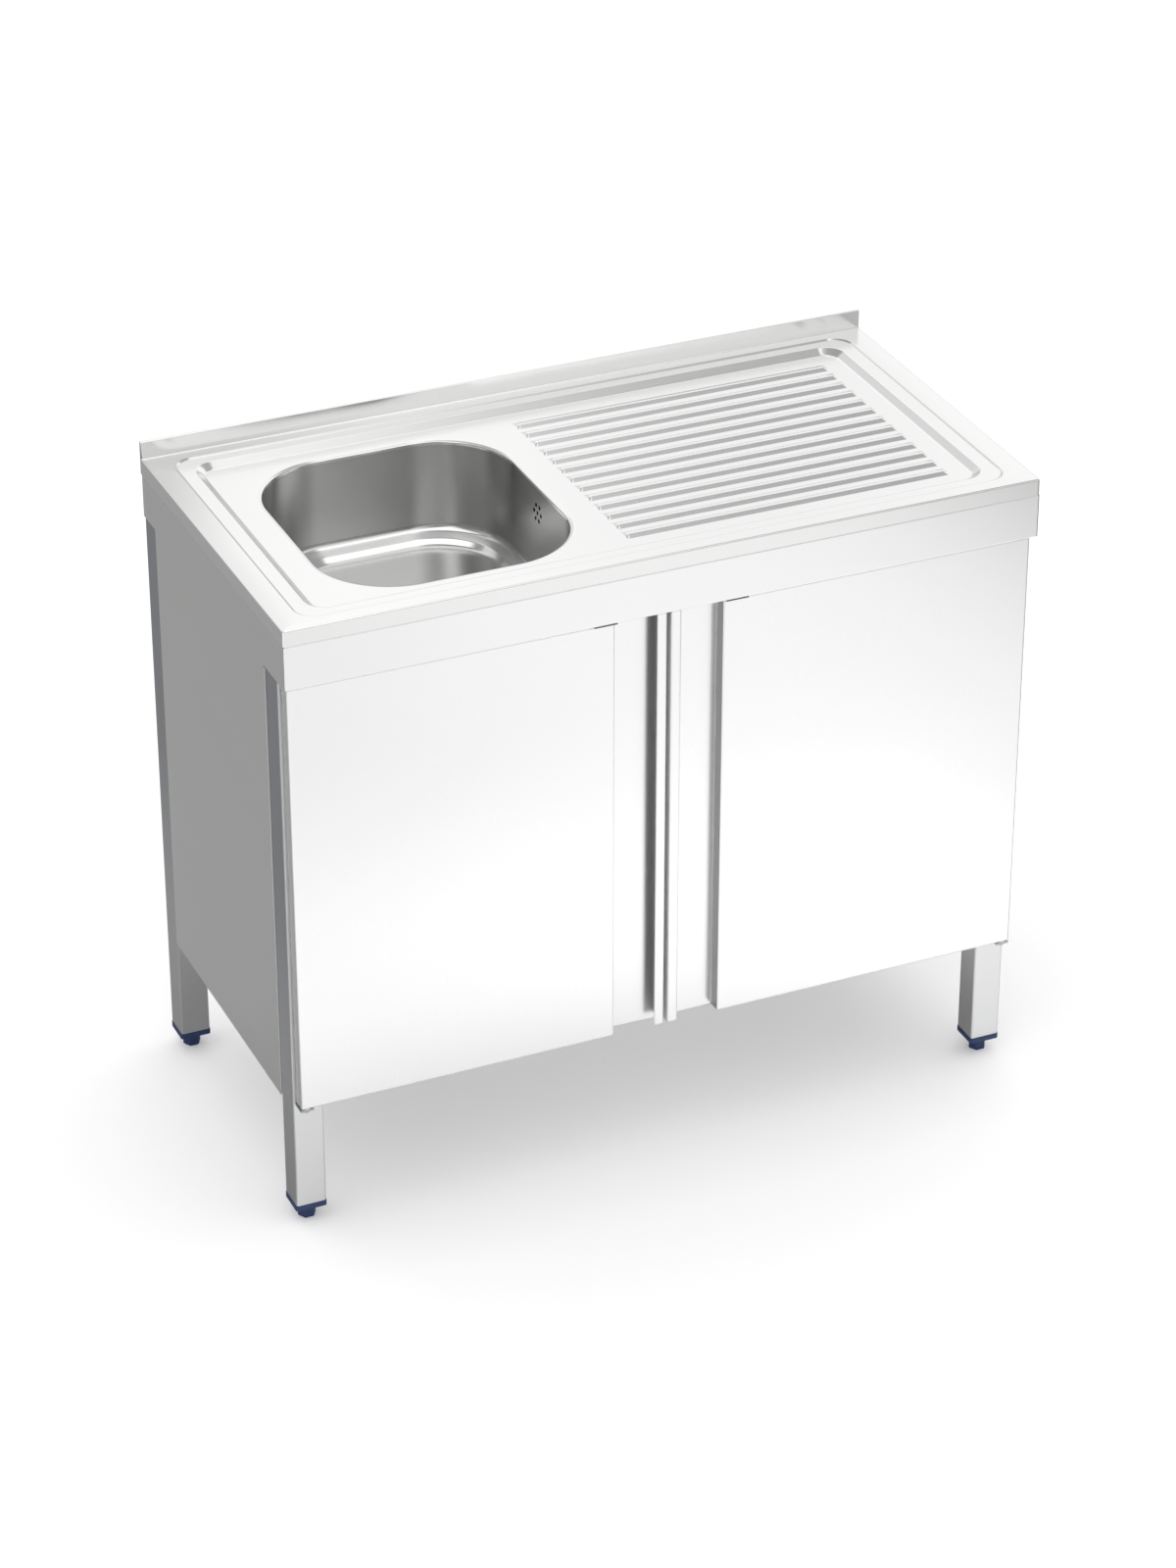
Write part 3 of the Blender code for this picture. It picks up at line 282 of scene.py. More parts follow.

# Front apron: a folded strip of the same sheet under the worktop's rim and flush with it, between the side panels. Its
# grain lies lengthwise, and its right end is painted dark as the shade beside the side panel.
APRON_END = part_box("front_apron")[1][0]
APRON_STEEL = ground_steel("satin_apron_sheet", (0.87, 0.87, 0.87), (0.91, 0.91, 0.91), 0.20, 0.26, (30, 1100, 1100),
                           edge=0.001)
APRON_TREE = APRON_STEEL.node_tree
APRON_END_SHADE = fade(APRON_TREE, places(APRON_TREE)["X"], APRON_END - 0.0012, APRON_END - 0.0008, 0.0, 1.0)
overlay(APRON_STEEL, APRON_END_SHADE, (0.06, 0.06, 0.06), 0.5)
dress(APRON_STEEL, "front_apron")

# Worktop: one sheet of 1 mm stainless steel, pressed with a double border, thirteen hipped drainer ribs and a rolled
# opening for the bowl. Its front and ends are folded down as a rim, and its back up as a hemmed upstand.
WORKTOP_LOW, WORKTOP_HIGH = (np.array(corner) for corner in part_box("worktop"))
SHEET = 0.001
RIM_DROP = 0.021
RIM_BEND = 0.002
RIM_LEVEL = 1.3 * RIM_BEND
RIM_CORNER = 0.0035
SHARP_CORNER = 0.00005
CORNER_STEPS = 15
UPSTAND_DEPTH = 0.005
UPSTAND_BEND = 0.0016
HEM_BEND = 0.0012
HEM_SEAM = 0.0004
TOP_Z = WORKTOP_LOW[2] + RIM_DROP
UPSTAND_Y = WORKTOP_HIGH[1] - UPSTAND_DEPTH
OUTER = np.array((WORKTOP_LOW[0], WORKTOP_HIGH[0], WORKTOP_LOW[1], UPSTAND_Y))
# (left, right, front, back) insets of the border line, of the ledge behind it and of the slope down to the field
LINE_INSET = np.array((0.0302, -0.0302, 0.0207, -0.0167))
LINE_RUN = np.array((0.0038, -0.0038, 0.0038, -0.0038))
LEDGE_RUN = np.array((0.01665, -0.01665, 0.01465, -0.01365))
SLOPE_RUN = np.array((0.01265, -0.01265, 0.01265, -0.01265))
LINE_CORNER, SLOPE_CORNER = 0.0273, 0.02875
LINE_DROP, FIELD_DROP = 0.0018, 0.0067
FIELD_Z = TOP_Z - LINE_DROP - FIELD_DROP
FIELD = OUTER + LINE_INSET + LINE_RUN + LEDGE_RUN + SLOPE_RUN
# the bowl's opening: centre, half sizes and corner radius at the wall, the roll that leads into it and the dished strip
# that draws the flat down to the roll
BOWL_HALF = np.array((0.164, 0.1795))
BOWL_CORNER = 0.102
MOUTH_DEPTH = 0.005
ROLL = 0.0012
DISH, DISH_DROP = 0.005, 0.0009
BOWL_CENTRE = FIELD[[0, 2]] + np.array((0.0381, 0.0154)) + BOWL_HALF
# the grid of the ribs and of the flat round the bowl: its insets in the field, and the gap from its parting to the ribs
GRID_INSET = np.array((0.024, -0.024, 0.0012, -0.0012))
GRID_GAP = 0.018
# ribs: x of their ends, y of the first one's front, pitch, number, and the section's slopes, top and height
RIB_ENDS = (BOWL_CENTRE[0] + BOWL_HALF[0] + 0.0412, FIELD[1] - 0.0247)
RIB_FIRST, RIB_PITCH, RIB_COUNT = FIELD[2] + 0.0199, 0.028, 13
RIB_RUN, RIB_END_RUN, RIB_TOP, RIB_HEIGHT = 0.008, 0.006, 0.0033, 0.0024
# fractions of a pressed slope at which its section is sampled, with one line in the flat on either side
RIB_STEPS = np.array((-0.05, 0, 0.04, 0.08, 0.5, 0.92, 0.96, 1, 1.05))
HIP_STEPS = np.array((-0.05, 0, 0.125, 0.25, 0.5, 0.75, 0.875, 1, 1.05))
SLOPE_STEPS = np.array((-0.06, 0, 0.05, 0.10, 0.15, 0.4, 0.7, 0.775, 0.85, 0.925, 1, 1.06))


def pressed(part, first, last):
    """Height of a pressed slope at a fraction of its run: the integral of a slope that rises evenly over the first
    share of the run, stays, and falls over the last share, which is a sum of four half squares."""
    def bend(start):
        return np.maximum(part - start, 0) ** 2 / 2
    return ((bend(0) - bend(first)) / first - (bend(1 - last) - bend(1)) / last) / (1 - (first + last) / 2)


def grid_faces(rows, columns, start, closed=False):
    """Quads of a grid of vertices numbered row by row from start, joined round in the column direction if closed."""
    steps = columns if closed else columns - 1
    row, column = np.meshgrid(np.arange(rows - 1), np.arange(steps), indexing="ij")
    following = (column + 1) % columns
    quads = np.stack((row * columns + column, row * columns + following,
                      (row + 1) * columns + following, (row + 1) * columns + column), axis=-1)
    return quads.reshape(-1, 4) + start


def patch_object(name, patches, up=None):
    """One object from patches, each an array of rows of points and a word on whether its rows close. Points that
    fall together are merged. An open sheet is turned to the side that up names, by the sum of its normals."""
    points, quads, start = [], [], 0
    for grid, closed in patches:
        rows, columns = grid.shape[:2]
        points.append(grid.reshape(-1, 3))
        quads.append(grid_faces(rows, columns, start, closed))
        start += rows * columns
    mesh = bpy.data.meshes.new(name)
    mesh.from_pydata(np.concatenate(points), [], np.concatenate(quads))
    work = bmesh.new()
    work.from_mesh(mesh)
    bmesh.ops.remove_doubles(work, verts=work.verts, dist=0.00001)
    bmesh.ops.recalc_face_normals(work, faces=work.faces)
    work.to_mesh(mesh)
    work.free()
    count = len(mesh.polygons)
    normals, areas = np.empty(count * 3), np.empty(count)
    mesh.polygons.foreach_get("normal", normals)
    mesh.polygons.foreach_get("area", areas)
    if up and areas @ normals.reshape(-1, 3) @ np.array(up) < 0:
        mesh.flip_normals()
    mesh.polygons.foreach_set("use_smooth", np.ones(count, dtype=bool))
    piece = bpy.data.objects.new(name, mesh)
    bpy.context.scene.collection.objects.link(piece)
    return piece


def thicken(piece, thickness):
    """Gives a sheet its wall, away from the side that shows."""
    wall = piece.modifiers.new("wall", "SOLIDIFY")
    wall.thickness = thickness
    wall.offset = -1.0
    wall.use_even_offset = True


def settle(piece):
    """Puts what the modifiers make into the mesh, with its cut edges kept sharp."""
    bpy.context.view_layer.update()
    made = bpy.data.meshes.new_from_object(piece.evaluated_get(bpy.context.evaluated_depsgraph_get()))
    piece.modifiers.clear()
    piece.data = made
    made.set_sharp_from_angle(angle=math.radians(40))


def walk(along_x, along_y, steps):
    """Course round a rounded rectangle, from the back end of the left side through the front and the right side to
    the back: for each point the share of the way in x and in y that its corner's centre has, and the angle at which
    it stands off that centre. The angle turns a quarter at each corner and stays on each side."""
    turn = np.linspace(0, math.pi / 2, steps + 2)[1:-1]
    none, one = np.zeros(steps), np.ones(steps)
    share_x = np.concatenate((0 * along_y, none, along_x, one, 0 * along_y + 1, one, along_x[::-1], none))
    share_y = np.concatenate((along_y[::-1], none, 0 * along_x, none, along_y, one, 0 * along_x + 1, one))
    angle = np.concatenate((0 * along_y + math.pi, math.pi + turn, 0 * along_x + 1.5 * math.pi, 1.5 * math.pi + turn,
                            0 * along_y, turn, 0 * along_x + math.pi / 2, math.pi / 2 + turn))
    return share_x, share_y, angle


def rounded_rows(limits, front_radius, back_radius, heights, course):
    """Rows of points on rounded rectangles, one for each (left, right, front, back) and height: the corner's centre
    at its share of the way, plus the corner's radius in the direction of the angle."""
    share_x, share_y, angle = course
    left, right, front, back = (limits[:, side, None] for side in range(4))
    radius = front_radius[:, None] * (1 - share_y) + back_radius[:, None] * share_y
    x = left + radius + (right - left - 2 * radius) * share_x + radius * np.cos(angle)
    y = front + radius + (back - front - 2 * radius) * share_y + radius * np.sin(angle)
    return np.stack((x, y, np.broadcast_to(heights[:, None], x.shape)), axis=-1)


def round_opening(direction, half, corner):
    """Where rays from the opening's centre meet its outline: on a straight side if that comes before the corner, and
    otherwise on the corner's circle, by the larger root of the quadratic for the distance."""
    ray = np.maximum(np.abs(direction), 1e-9)
    inner = half - corner
    along_x, along_y = half[0] / ray[:, 0], half[1] / ray[:, 1]
    lead, size = ray @ inner, (ray ** 2).sum(axis=1)
    bow = (lead + np.sqrt(np.maximum(lead ** 2 - size * (inner @ inner - corner ** 2), 0))) / size
    reach = np.where(ray[:, 1] * along_x <= inner[1], along_x, np.where(ray[:, 0] * along_y <= inner[0], along_y, bow))
    return direction * reach[:, None]


def opening_rows(direction, offsets, heights, centre=BOWL_CENTRE, half=BOWL_HALF, corner=BOWL_CORNER):
    """Rows of points on the bowl's outline, moved out by each offset and set at each height. The corner's radius grows
    by the offset outwards, and shrinks by three quarters of it inwards."""
    rows = np.stack([centre + round_opening(direction, half + offset, corner + max(offset, 0.75 * offset))
                     for offset in offsets])
    return np.concatenate((rows, np.broadcast_to(np.asarray(heights)[:, None, None], rows.shape[:2] + (1,))), axis=-1)


def worktop_patches():
    """The sheet as patches that meet edge to edge: border and slope as rounded rectangles, the ribs as a height over a
    grid of x and y, the flat round the bowl drawn in to its outline and rolled down, rim and upstand as sections."""
    # lines of the field's grid: even ones across the bowl, dense ones over the ribs' slopes
    left, right, low, high = FIELD + GRID_INSET
    middle = RIB_ENDS[0] - GRID_GAP
    slope, hip = RIB_STEPS * RIB_RUN, HIP_STEPS * RIB_END_RUN
    bowl_x = np.linspace(left, middle, 49)
    rib_x = np.concatenate(((middle,), RIB_ENDS[0] + hip, np.linspace(*RIB_ENDS, 9)[1:-1],
                            RIB_ENDS[1] - hip[::-1], (right,)))
    width = 2 * RIB_RUN + RIB_TOP
    fronts = RIB_FIRST + RIB_PITCH * np.arange(RIB_COUNT)
    rib_y = (fronts[:, None] + np.concatenate((slope, width - slope[::-1]))).ravel()
    field_y = np.concatenate(((low,), rib_y, (high,)))
    # ribs: the least distance to the foot's four sides, in slope runs, gives the hipped height
    x, y = np.meshgrid(rib_x, field_y)
    nearest = np.abs(y[..., None] - fronts - width / 2).min(axis=-1)
    hips = pressed(np.minimum(x - RIB_ENDS[0], RIB_ENDS[1] - x) / RIB_END_RUN, 0.25, 0.25)
    flanks = pressed((width / 2 - nearest) / RIB_RUN, 0.08, 0.08)
    ribs = np.stack((x, y, FIELD_Z + RIB_HEIGHT * np.minimum(hips, flanks)), axis=-1)
    # flat round the bowl: the rectangle's edge, drawn in on rays to the outline, dished as a parabola and rolled over
    # an arc that goes on from the dish's slope
    edge = np.concatenate([np.stack(pair, axis=-1) for pair in (
        (np.full(field_y.size, left), field_y[::-1]), (bowl_x[1:-1], np.full(bowl_x.size - 2, low)),
        (np.full(field_y.size, middle), field_y), (bowl_x[-2:0:-1], np.full(bowl_x.size - 2, high)))])
    turn = np.linspace(0, math.pi / 2, 10)
    dish = np.array((-0.15, 0, 0.2, 0.4, 0.6, 0.8))
    lead = math.atan(2 * DISH_DROP / DISH)
    arc = np.linspace(lead, math.pi / 2, 7)
    radius = ROLL / (1 - math.sin(lead))
    offsets = np.concatenate((ROLL + DISH * (1 - dish), radius * (1 - np.sin(arc)), (0,)))
    heights = FIELD_Z - np.concatenate((DISH_DROP * np.maximum(dish, 0) ** 2,
                                        DISH_DROP + radius * (math.cos(lead) - np.cos(arc)), (MOUTH_DEPTH,)))
    mouth = opening_rows(edge - BOWL_CENTRE, offsets, heights)
    rectangle = np.concatenate((edge, np.full((len(edge), 1), FIELD_Z)), axis=-1)
    drawn = rectangle + (mouth[0] - rectangle) * np.linspace(0, 1, 5)[:, None, None]
    bowl_flat = np.concatenate((drawn[:-1], mouth))
    # border: rounded rectangles from the rim's bend over the fine line and the ledge down to the field
    all_x = np.concatenate((bowl_x, rib_x[1:]))
    along_x, along_y = (all_x - left) / (right - left), (field_y - low) / (high - low)
    course = walk(along_x, along_y, CORNER_STEPS)
    edge_inset = np.array((RIM_BEND, -RIM_BEND, RIM_BEND, -UPSTAND_BEND))
    part = SLOPE_STEPS[:, None]
    line = OUTER + LINE_INSET + LINE_RUN * part
    slope_limits = OUTER + LINE_INSET + LINE_RUN + LEDGE_RUN + SLOPE_RUN * part
    limits = np.concatenate(((OUTER + edge_inset,), line, slope_limits))
    corner = np.concatenate((LINE_CORNER - LINE_RUN[0] * SLOPE_STEPS, SLOPE_CORNER - SLOPE_RUN[0] * SLOPE_STEPS))
    heights = np.concatenate(((TOP_Z,), TOP_Z - LINE_DROP * pressed(SLOPE_STEPS, 0.15, 0.2),
                              TOP_Z - LINE_DROP - FIELD_DROP * pressed(SLOPE_STEPS, 0.15, 0.3)))
    border = rounded_rows(limits, np.concatenate(((RIM_CORNER - RIM_BEND,), corner)),
                          np.concatenate(((SHARP_CORNER,), corner)), heights, course)
    # the strip between the slope's foot and the grid: the slope's last row against the grid's edge, fanned from the
    # grid's corners
    inner = rounded_rows(np.array(((left, right, low, high),)), np.zeros(1), np.zeros(1), np.array((FIELD_Z,)), course)
    strip = np.concatenate((border[-1:], inner))
    # rim: the bend as a quarter circle, then straight down, on the left, front and right alone. One row just under the
    # bend keeps the face below it level
    open_run = 2 * field_y.size + 2 * CORNER_STEPS + all_x.size
    inset = np.concatenate((RIM_BEND * (1 - np.sin(turn)), (0, 0)))
    limits = OUTER + inset[:, None] * np.array((1, -1, 1, 0)) - np.array((0, 0, 0, UPSTAND_BEND))
    heights = np.concatenate((TOP_Z - RIM_BEND * (1 - np.cos(turn)), (TOP_Z - RIM_LEVEL, WORKTOP_LOW[2])))
    rim = rounded_rows(limits, RIM_CORNER - inset, np.full(inset.size, SHARP_CORNER), heights, course)[:, :open_run]
    ends = rim[:, (0, -1)] * (1, 0, 1) + np.array((0, WORKTOP_HIGH[1] - HEM_SEAM, 0))
    rim = np.concatenate((ends[:, :1], rim, ends[:, 1:]), axis=1)
    # upstand: up from the top in a bend, over the hem in two, and down the back
    hem = HEM_BEND * np.sin(turn)
    fold = HEM_BEND * (1 - np.cos(turn))
    back_y, high_z = WORKTOP_HIGH[1:]
    section_y = np.concatenate((UPSTAND_Y - UPSTAND_BEND * (1 - np.sin(turn)), UPSTAND_Y + fold,
                                back_y - HEM_BEND + hem, (back_y,)))
    section_z = np.concatenate((TOP_Z + UPSTAND_BEND * (1 - np.cos(turn)), high_z - HEM_BEND + hem,
                                high_z - fold, (WORKTOP_LOW[2],)))
    back_run = open_run + CORNER_STEPS
    back_x = np.concatenate((OUTER[:1], np.unique(border[0, back_run:back_run + all_x.size, 0]), OUTER[1:2]))
    upstand = np.stack(np.broadcast_arrays(back_x[None, :], section_y[:, None], section_z[:, None]), axis=-1)
    # hem's ends: from the front face to the back at each height of the hem's bend
    end_y = np.stack((np.concatenate(((UPSTAND_Y,), UPSTAND_Y + fold)),
                      np.concatenate(((back_y,), back_y - fold))), axis=1)
    end_z = np.concatenate(((TOP_Z,), high_z - HEM_BEND + hem))[:, None]
    caps = [(np.stack(np.broadcast_arrays(end_x, end_y, end_z), axis=-1), False) for end_x in OUTER[:2]]
    return [(ribs, False), (bowl_flat, True), (border, True), (strip, True), (rim, False), (upstand, False), *caps]


worktop = patch_object("pressed_worktop", worktop_patches(), up=(0, 0, 1))
thicken(worktop, SHEET)
settle(worktop)
SATIN_TOP = ground_steel("satin_worktop_steel", (0.90, 0.90, 0.895), (0.93, 0.93, 0.925), 0.15, 0.20, (26, 1000, 1000),
                         relief=0.012)
TOP_TREE = SATIN_TOP.node_tree
TOP_PLACE = places(TOP_TREE)
# the rim's front is rougher, and the border's flat is painted darker towards the back left corner as painted shade
RIM_FRONT = fade(TOP_TREE, TOP_PLACE["Y"], WORKTOP_LOW[1] + 0.0002, WORKTOP_LOW[1] + 0.0008, 1.0, 0.0)
FAR_FLAT_SHADE = fade(TOP_TREE, TOP_PLACE["Y"], -0.05, 0.23, 0.0, 1.0)
FAR_FLAT_SHADE = fade(TOP_TREE, TOP_PLACE["X"], -0.45, -0.10, FAR_FLAT_SHADE, 0.0)
FAR_FLAT_SHADE = fade(TOP_TREE, TOP_PLACE["Z"], TOP_Z - 0.0005, TOP_Z - 0.0002, 0.0, FAR_FLAT_SHADE)
FAR_FLAT_SHADE = fade(TOP_TREE, TOP_PLACE["Z"], TOP_Z + 0.0002, TOP_Z + 0.0006, FAR_FLAT_SHADE, 0.0)
overlay(SATIN_TOP, RIM_FRONT, (0.85, 0.85, 0.845), 0.22)
overlay(SATIN_TOP, FAR_FLAT_SHADE, (0.70, 0.70, 0.695), 0.2)
worktop.data.materials.append(SATIN_TOP)
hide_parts("worktop")
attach(worktop, "frame")

# Bowl: deep-drawn from the same sheet, welded under the worktop's rolled opening and ground over. The wall leans in a
# little, turns into a sloping ring, a step and then the floor, which falls to the seat of the strainer.
BOWL_DEPTH, BOWL_LEAN = 0.135, 0.004
WALL_FILLET, RING_RUN, STEP_BEND, STEP_RUN, FLOOR_FILLET = 0.012, 0.0078, 0.006, 0.006, 0.010
RING_SLOPE, STEP_SLOPE = math.radians(26), math.radians(45)
SEAT_RADIUS, DRAIN_RADIUS, SEAT_FALL = 0.041, 0.026, 0.002
OVERFLOW_DROP, OVERFLOW_RING, OVERFLOW_HOLE = 0.036, 0.0104, 0.0029


def bowl_rows(around=256):
    """Rows from the mouth down: the wall's section as offsets inwards and depths below the wall's foot, made of a line,
    an arc to the ring's slope, a line, an arc to the step's steeper slope, a line and an arc to the floor; then rows
    that go over from the outline to a circle, and the seat."""
    share = np.linspace(0, 1, 11)[1:]
    turn = (math.pi / 2 - RING_SLOPE) * share
    step_turn = RING_SLOPE + (STEP_SLOPE - RING_SLOPE) * share
    floor_turn = STEP_SLOPE * (1 - share)
    wall = np.linspace(0, 1, 9)
    inward = [BOWL_LEAN * 1.1 * wall ** 2 / (wall + 0.1), BOWL_LEAN + WALL_FILLET * (1 - np.cos(turn))]
    depth = [0 * wall, WALL_FILLET * np.sin(turn)]
    inward.append(inward[-1][-1:] + RING_RUN * math.cos(RING_SLOPE))
    depth.append(depth[-1][-1:] + RING_RUN * math.sin(RING_SLOPE))
    inward.append(inward[-1] + STEP_BEND * (np.sin(step_turn) - math.sin(RING_SLOPE)))
    depth.append(depth[-1] + STEP_BEND * (math.cos(RING_SLOPE) - np.cos(step_turn)))
    inward.append(inward[-1][-1:] + STEP_RUN * math.cos(STEP_SLOPE))
    depth.append(depth[-1][-1:] + STEP_RUN * math.sin(STEP_SLOPE))
    inward.append(inward[-1][-1] + FLOOR_FILLET * (math.sin(STEP_SLOPE) - np.sin(floor_turn)))
    depth.append(depth[-1][-1] + FLOOR_FILLET * (np.cos(floor_turn) - math.cos(STEP_SLOPE)))
    foot = BOWL_DEPTH - depth[-1][-1]
    depth[0] = MOUTH_DEPTH - foot + (foot - MOUTH_DEPTH) * wall
    angle = np.linspace(0, 2 * math.pi, around, endpoint=False)
    circle = np.stack((np.cos(angle), np.sin(angle)), axis=-1)
    sides = opening_rows(circle * BOWL_HALF, -np.concatenate(inward), FIELD_Z - foot - np.concatenate(depth))
    # floor: from the last row to the seat's circle, falling evenly, then the flat seat to the drain
    share = np.linspace(0, 1, 9)[1:, None, None]
    seat_z = np.full((around, 1), FIELD_Z - BOWL_DEPTH - SEAT_FALL)
    seat = np.concatenate((BOWL_CENTRE + SEAT_RADIUS * circle, seat_z), axis=-1)
    floor = sides[-1] + (seat - sides[-1]) * share
    drain = np.concatenate((BOWL_CENTRE + DRAIN_RADIUS * circle, seat_z), axis=-1)
    return np.concatenate((sides, floor, drain[None]))


def overflow_pins(steps=20):
    """Closed round pins along X, one in the middle and six round it, that punch the overflow's holes: rows at radius
    zero, full radius, full radius and zero along each pin."""
    turn = np.linspace(0, 2 * math.pi, steps, endpoint=False)
    ring = np.arange(6) * math.pi / 3
    wall_x = BOWL_CENTRE[0] + BOWL_HALF[0]
    centres = OVERFLOW_RING * np.concatenate((((0, 0),), np.stack((np.cos(ring), np.sin(ring)), axis=-1)))
    reach = np.array((-0.012, -0.012, 0.006, 0.006))[:, None]
    radius = OVERFLOW_HOLE * np.array((0, 1, 1, 0))[:, None]
    middle_y, middle_z = BOWL_CENTRE[1], FIELD_Z - OVERFLOW_DROP
    return [(np.stack(np.broadcast_arrays(wall_x + reach, middle_y + pin_y + radius * np.cos(turn),
                                          middle_z + pin_z + radius * np.sin(turn)), axis=-1), True)
            for pin_y, pin_z in centres]


bowl = patch_object("drawn_bowl", [(bowl_rows(), True)], up=(0, 0, 1))
thicken(bowl, SHEET)
pins = patch_object("overflow_pins", overflow_pins())
punch = bowl.modifiers.new("overflow_holes", "BOOLEAN")
punch.object = pins
punch.operation = "DIFFERENCE"
punch.solver = "EXACT"
settle(bowl)
bpy.data.objects.remove(pins)
bowl.data.materials.clear()
# the bowl's steel is darker than the worktop's, as painted shade of the deep bowl
BOWL_STEEL = ground_steel("satin_bowl_steel", (0.72, 0.72, 0.715), (0.77, 0.77, 0.765), 0.12, 0.16, (500, 500, 500),
                          clouds=14.0, relief=0.02)
BOWL_TREE = BOWL_STEEL.node_tree
BOWL_PLACE = places(BOWL_TREE)
# the walls are ground rougher than the bottom and painted a little darker, and much darker at the left and right ends,
# as painted shade in the bowl
WALL_FOOT, WALL_FULL = FIELD_Z - 0.126, FIELD_Z - 0.110
BOWL_LEFT_SHADE = fade(BOWL_TREE, BOWL_PLACE["X"], BOWL_CENTRE[0] - 0.15, BOWL_CENTRE[0] - 0.11, 1.0, 0.0)
BOWL_RIGHT_SHADE = fade(BOWL_TREE, BOWL_PLACE["X"], BOWL_CENTRE[0] + 0.09, BOWL_CENTRE[0] + 0.14, 0.0, 1.0)
for share, colour, rough in ((1.0, (0.70, 0.70, 0.695), 0.28), (BOWL_LEFT_SHADE, (0.50, 0.50, 0.495), 0.30),
                             (BOWL_RIGHT_SHADE, (0.45, 0.45, 0.445), 0.28)):
    overlay(BOWL_STEEL, fade(BOWL_TREE, BOWL_PLACE["Z"], WALL_FOOT, WALL_FULL, 0.0, share), colour, rough)
bowl.data.materials.append(BOWL_STEEL)
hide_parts("bowl")
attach(bowl, "frame")

# Waste and overflow: a pierced stainless strainer over a grey polypropylene body and nut with a rubber gasket, and a
# dark overflow cup behind the bowl's wall with a smooth grey pipe to the body.
STRAINER_STEEL = ground_steel("turned_strainer_steel", (0.72, 0.72, 0.71), (0.82, 0.82, 0.81), 0.16, 0.26,
                              (700, 700, 700))
GREY_PLASTIC = moulded("grey_polypropylene", (0.23, 0.235, 0.24), (0.30, 0.305, 0.31), 0.42, 0.58)
DARK_PLASTIC = moulded("dark_polypropylene", (0.012, 0.012, 0.013), (0.026, 0.026, 0.028), 0.45, 0.60)
RUBBER = moulded("black_rubber", (0.008, 0.008, 0.008), (0.022, 0.022, 0.021), 0.60, 0.80, pits=2200.0)
dress(STRAINER_STEEL, "waste_strainer")
dress(GREY_PLASTIC, "waste_body", "waste_nut", "overflow_pipe")
dress(DARK_PLASTIC, "overflow_cup")
dress(RUBBER, "waste_gasket", "overflow_gasket")

# Doors: a skin folded from satin sheet with the finger recess and its lip along the meeting edge, and a liner sheet
# that closes its back. The strike plates that the catches pull on sit on the liners.
DOOR_FACE, RECESS_FLOOR, RECESS_REACH = -0.2431, -0.2259, 0.085
LEFT_FOLD_SHADE, RIGHT_FOLD_SHADE, MEETING = (0.11, 0.11, 0.112), (0.37, 0.37, 0.373), 0.004
DOOR_STEEL = ground_steel("satin_door_sheet", (0.89, 0.89, 0.89), (0.925, 0.925, 0.925), 0.22, 0.28, (1200, 1200, 24),
                          relief=0.02, edge=0.003)
DOOR_TREE = DOOR_STEEL.node_tree


def between(low, high, value, inside=1.0):
    """A mask that is a number, or another mask, where a value lies between two others, and 0 outside them, with soft
    edges."""
    soft = 0.0008
    return fade(DOOR_TREE, value, high - soft, high, fade(DOOR_TREE, value, low, low + soft, 0.0, inside), 0.0)


# painted shade: the recess's side walls are painted dark, the left one darkest, as the shade in the recess behind the
# lip; the meeting edges are left rough from the shears; and the bend along the right end is painted dark as a line of
# shade
DOOR_PLACE = places(DOOR_TREE)
DOOR_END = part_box("right_door_skin")[1][0]
FOLDS = between(DOOR_FACE + 0.0004, RECESS_FLOOR - 0.0004, DOOR_PLACE["Y"])
END_BEND_SHADE = between(DOOR_FACE - 0.01, DOOR_FACE + 0.002, DOOR_PLACE["Y"])
overlay(DOOR_STEEL, between(-RECESS_REACH, 0.0, DOOR_PLACE["X"], FOLDS), LEFT_FOLD_SHADE, 0.5)
overlay(DOOR_STEEL, between(0.0, RECESS_REACH, DOOR_PLACE["X"], FOLDS), RIGHT_FOLD_SHADE, 0.5)
overlay(DOOR_STEEL, between(-MEETING, MEETING, DOOR_PLACE["X"], FOLDS), (0.85, 0.85, 0.85), 0.8)
overlay(DOOR_STEEL, between(DOOR_END - 0.0014, DOOR_END + 0.01, DOOR_PLACE["X"], END_BEND_SHADE), (0.20, 0.20, 0.20), 0.5)
dress(DOOR_STEEL, "left_door_skin", "right_door_skin", "left_door_liner", "right_door_liner")

# Pivots and catches: brackets, pins, strike plates and catch plates pressed from zinc-plated steel, with nylon bushes
# in the doors' folded ends for the pins to turn in.
PIVOTS = tuple(f"{side}_{end}" for side in ("left", "right") for end in ("upper", "lower"))
ZINC = ground_steel("zinc_plate", (0.38, 0.39, 0.41), (0.52, 0.53, 0.55), 0.30, 0.50, (300, 300, 300), clouds=90.0)
DARK_ZINC = ground_steel("dark_zinc_plate", (0.10, 0.10, 0.11), (0.17, 0.17, 0.18), 0.35, 0.55, (300, 300, 300),
                         clouds=90.0)
NYLON = moulded("white_nylon", (0.70, 0.70, 0.67), (0.80, 0.80, 0.77), 0.35, 0.50)
for pivot in PIVOTS:
    dress(ZINC, pivot + "_bracket", pivot + "_pin")
    dress(NYLON, pivot + "_bush")
dress(ZINC, "left_strike_plate", "right_strike_plate")
dress(DARK_ZINC, "left_door_catch", "right_door_catch")

# Studio: a pale floor that keeps the soft shadow, a soft lamp overhead and a surround that metal reflects: white to the
# right and behind, grey to the left and overhead, and with a bright soft box high in front.
FLOOR_REACH = 14
FLOOR_GREY, FLOOR_GLOW, FLOOR_LIFT = 0.80, 0.165, 1.04
DOME_LIGHT = 1.16
LAMP_LIGHT, LAMP_ANGLE = 0.25, math.radians(60)
LAMP_TURN = (math.radians(-11), math.radians(9), 0)


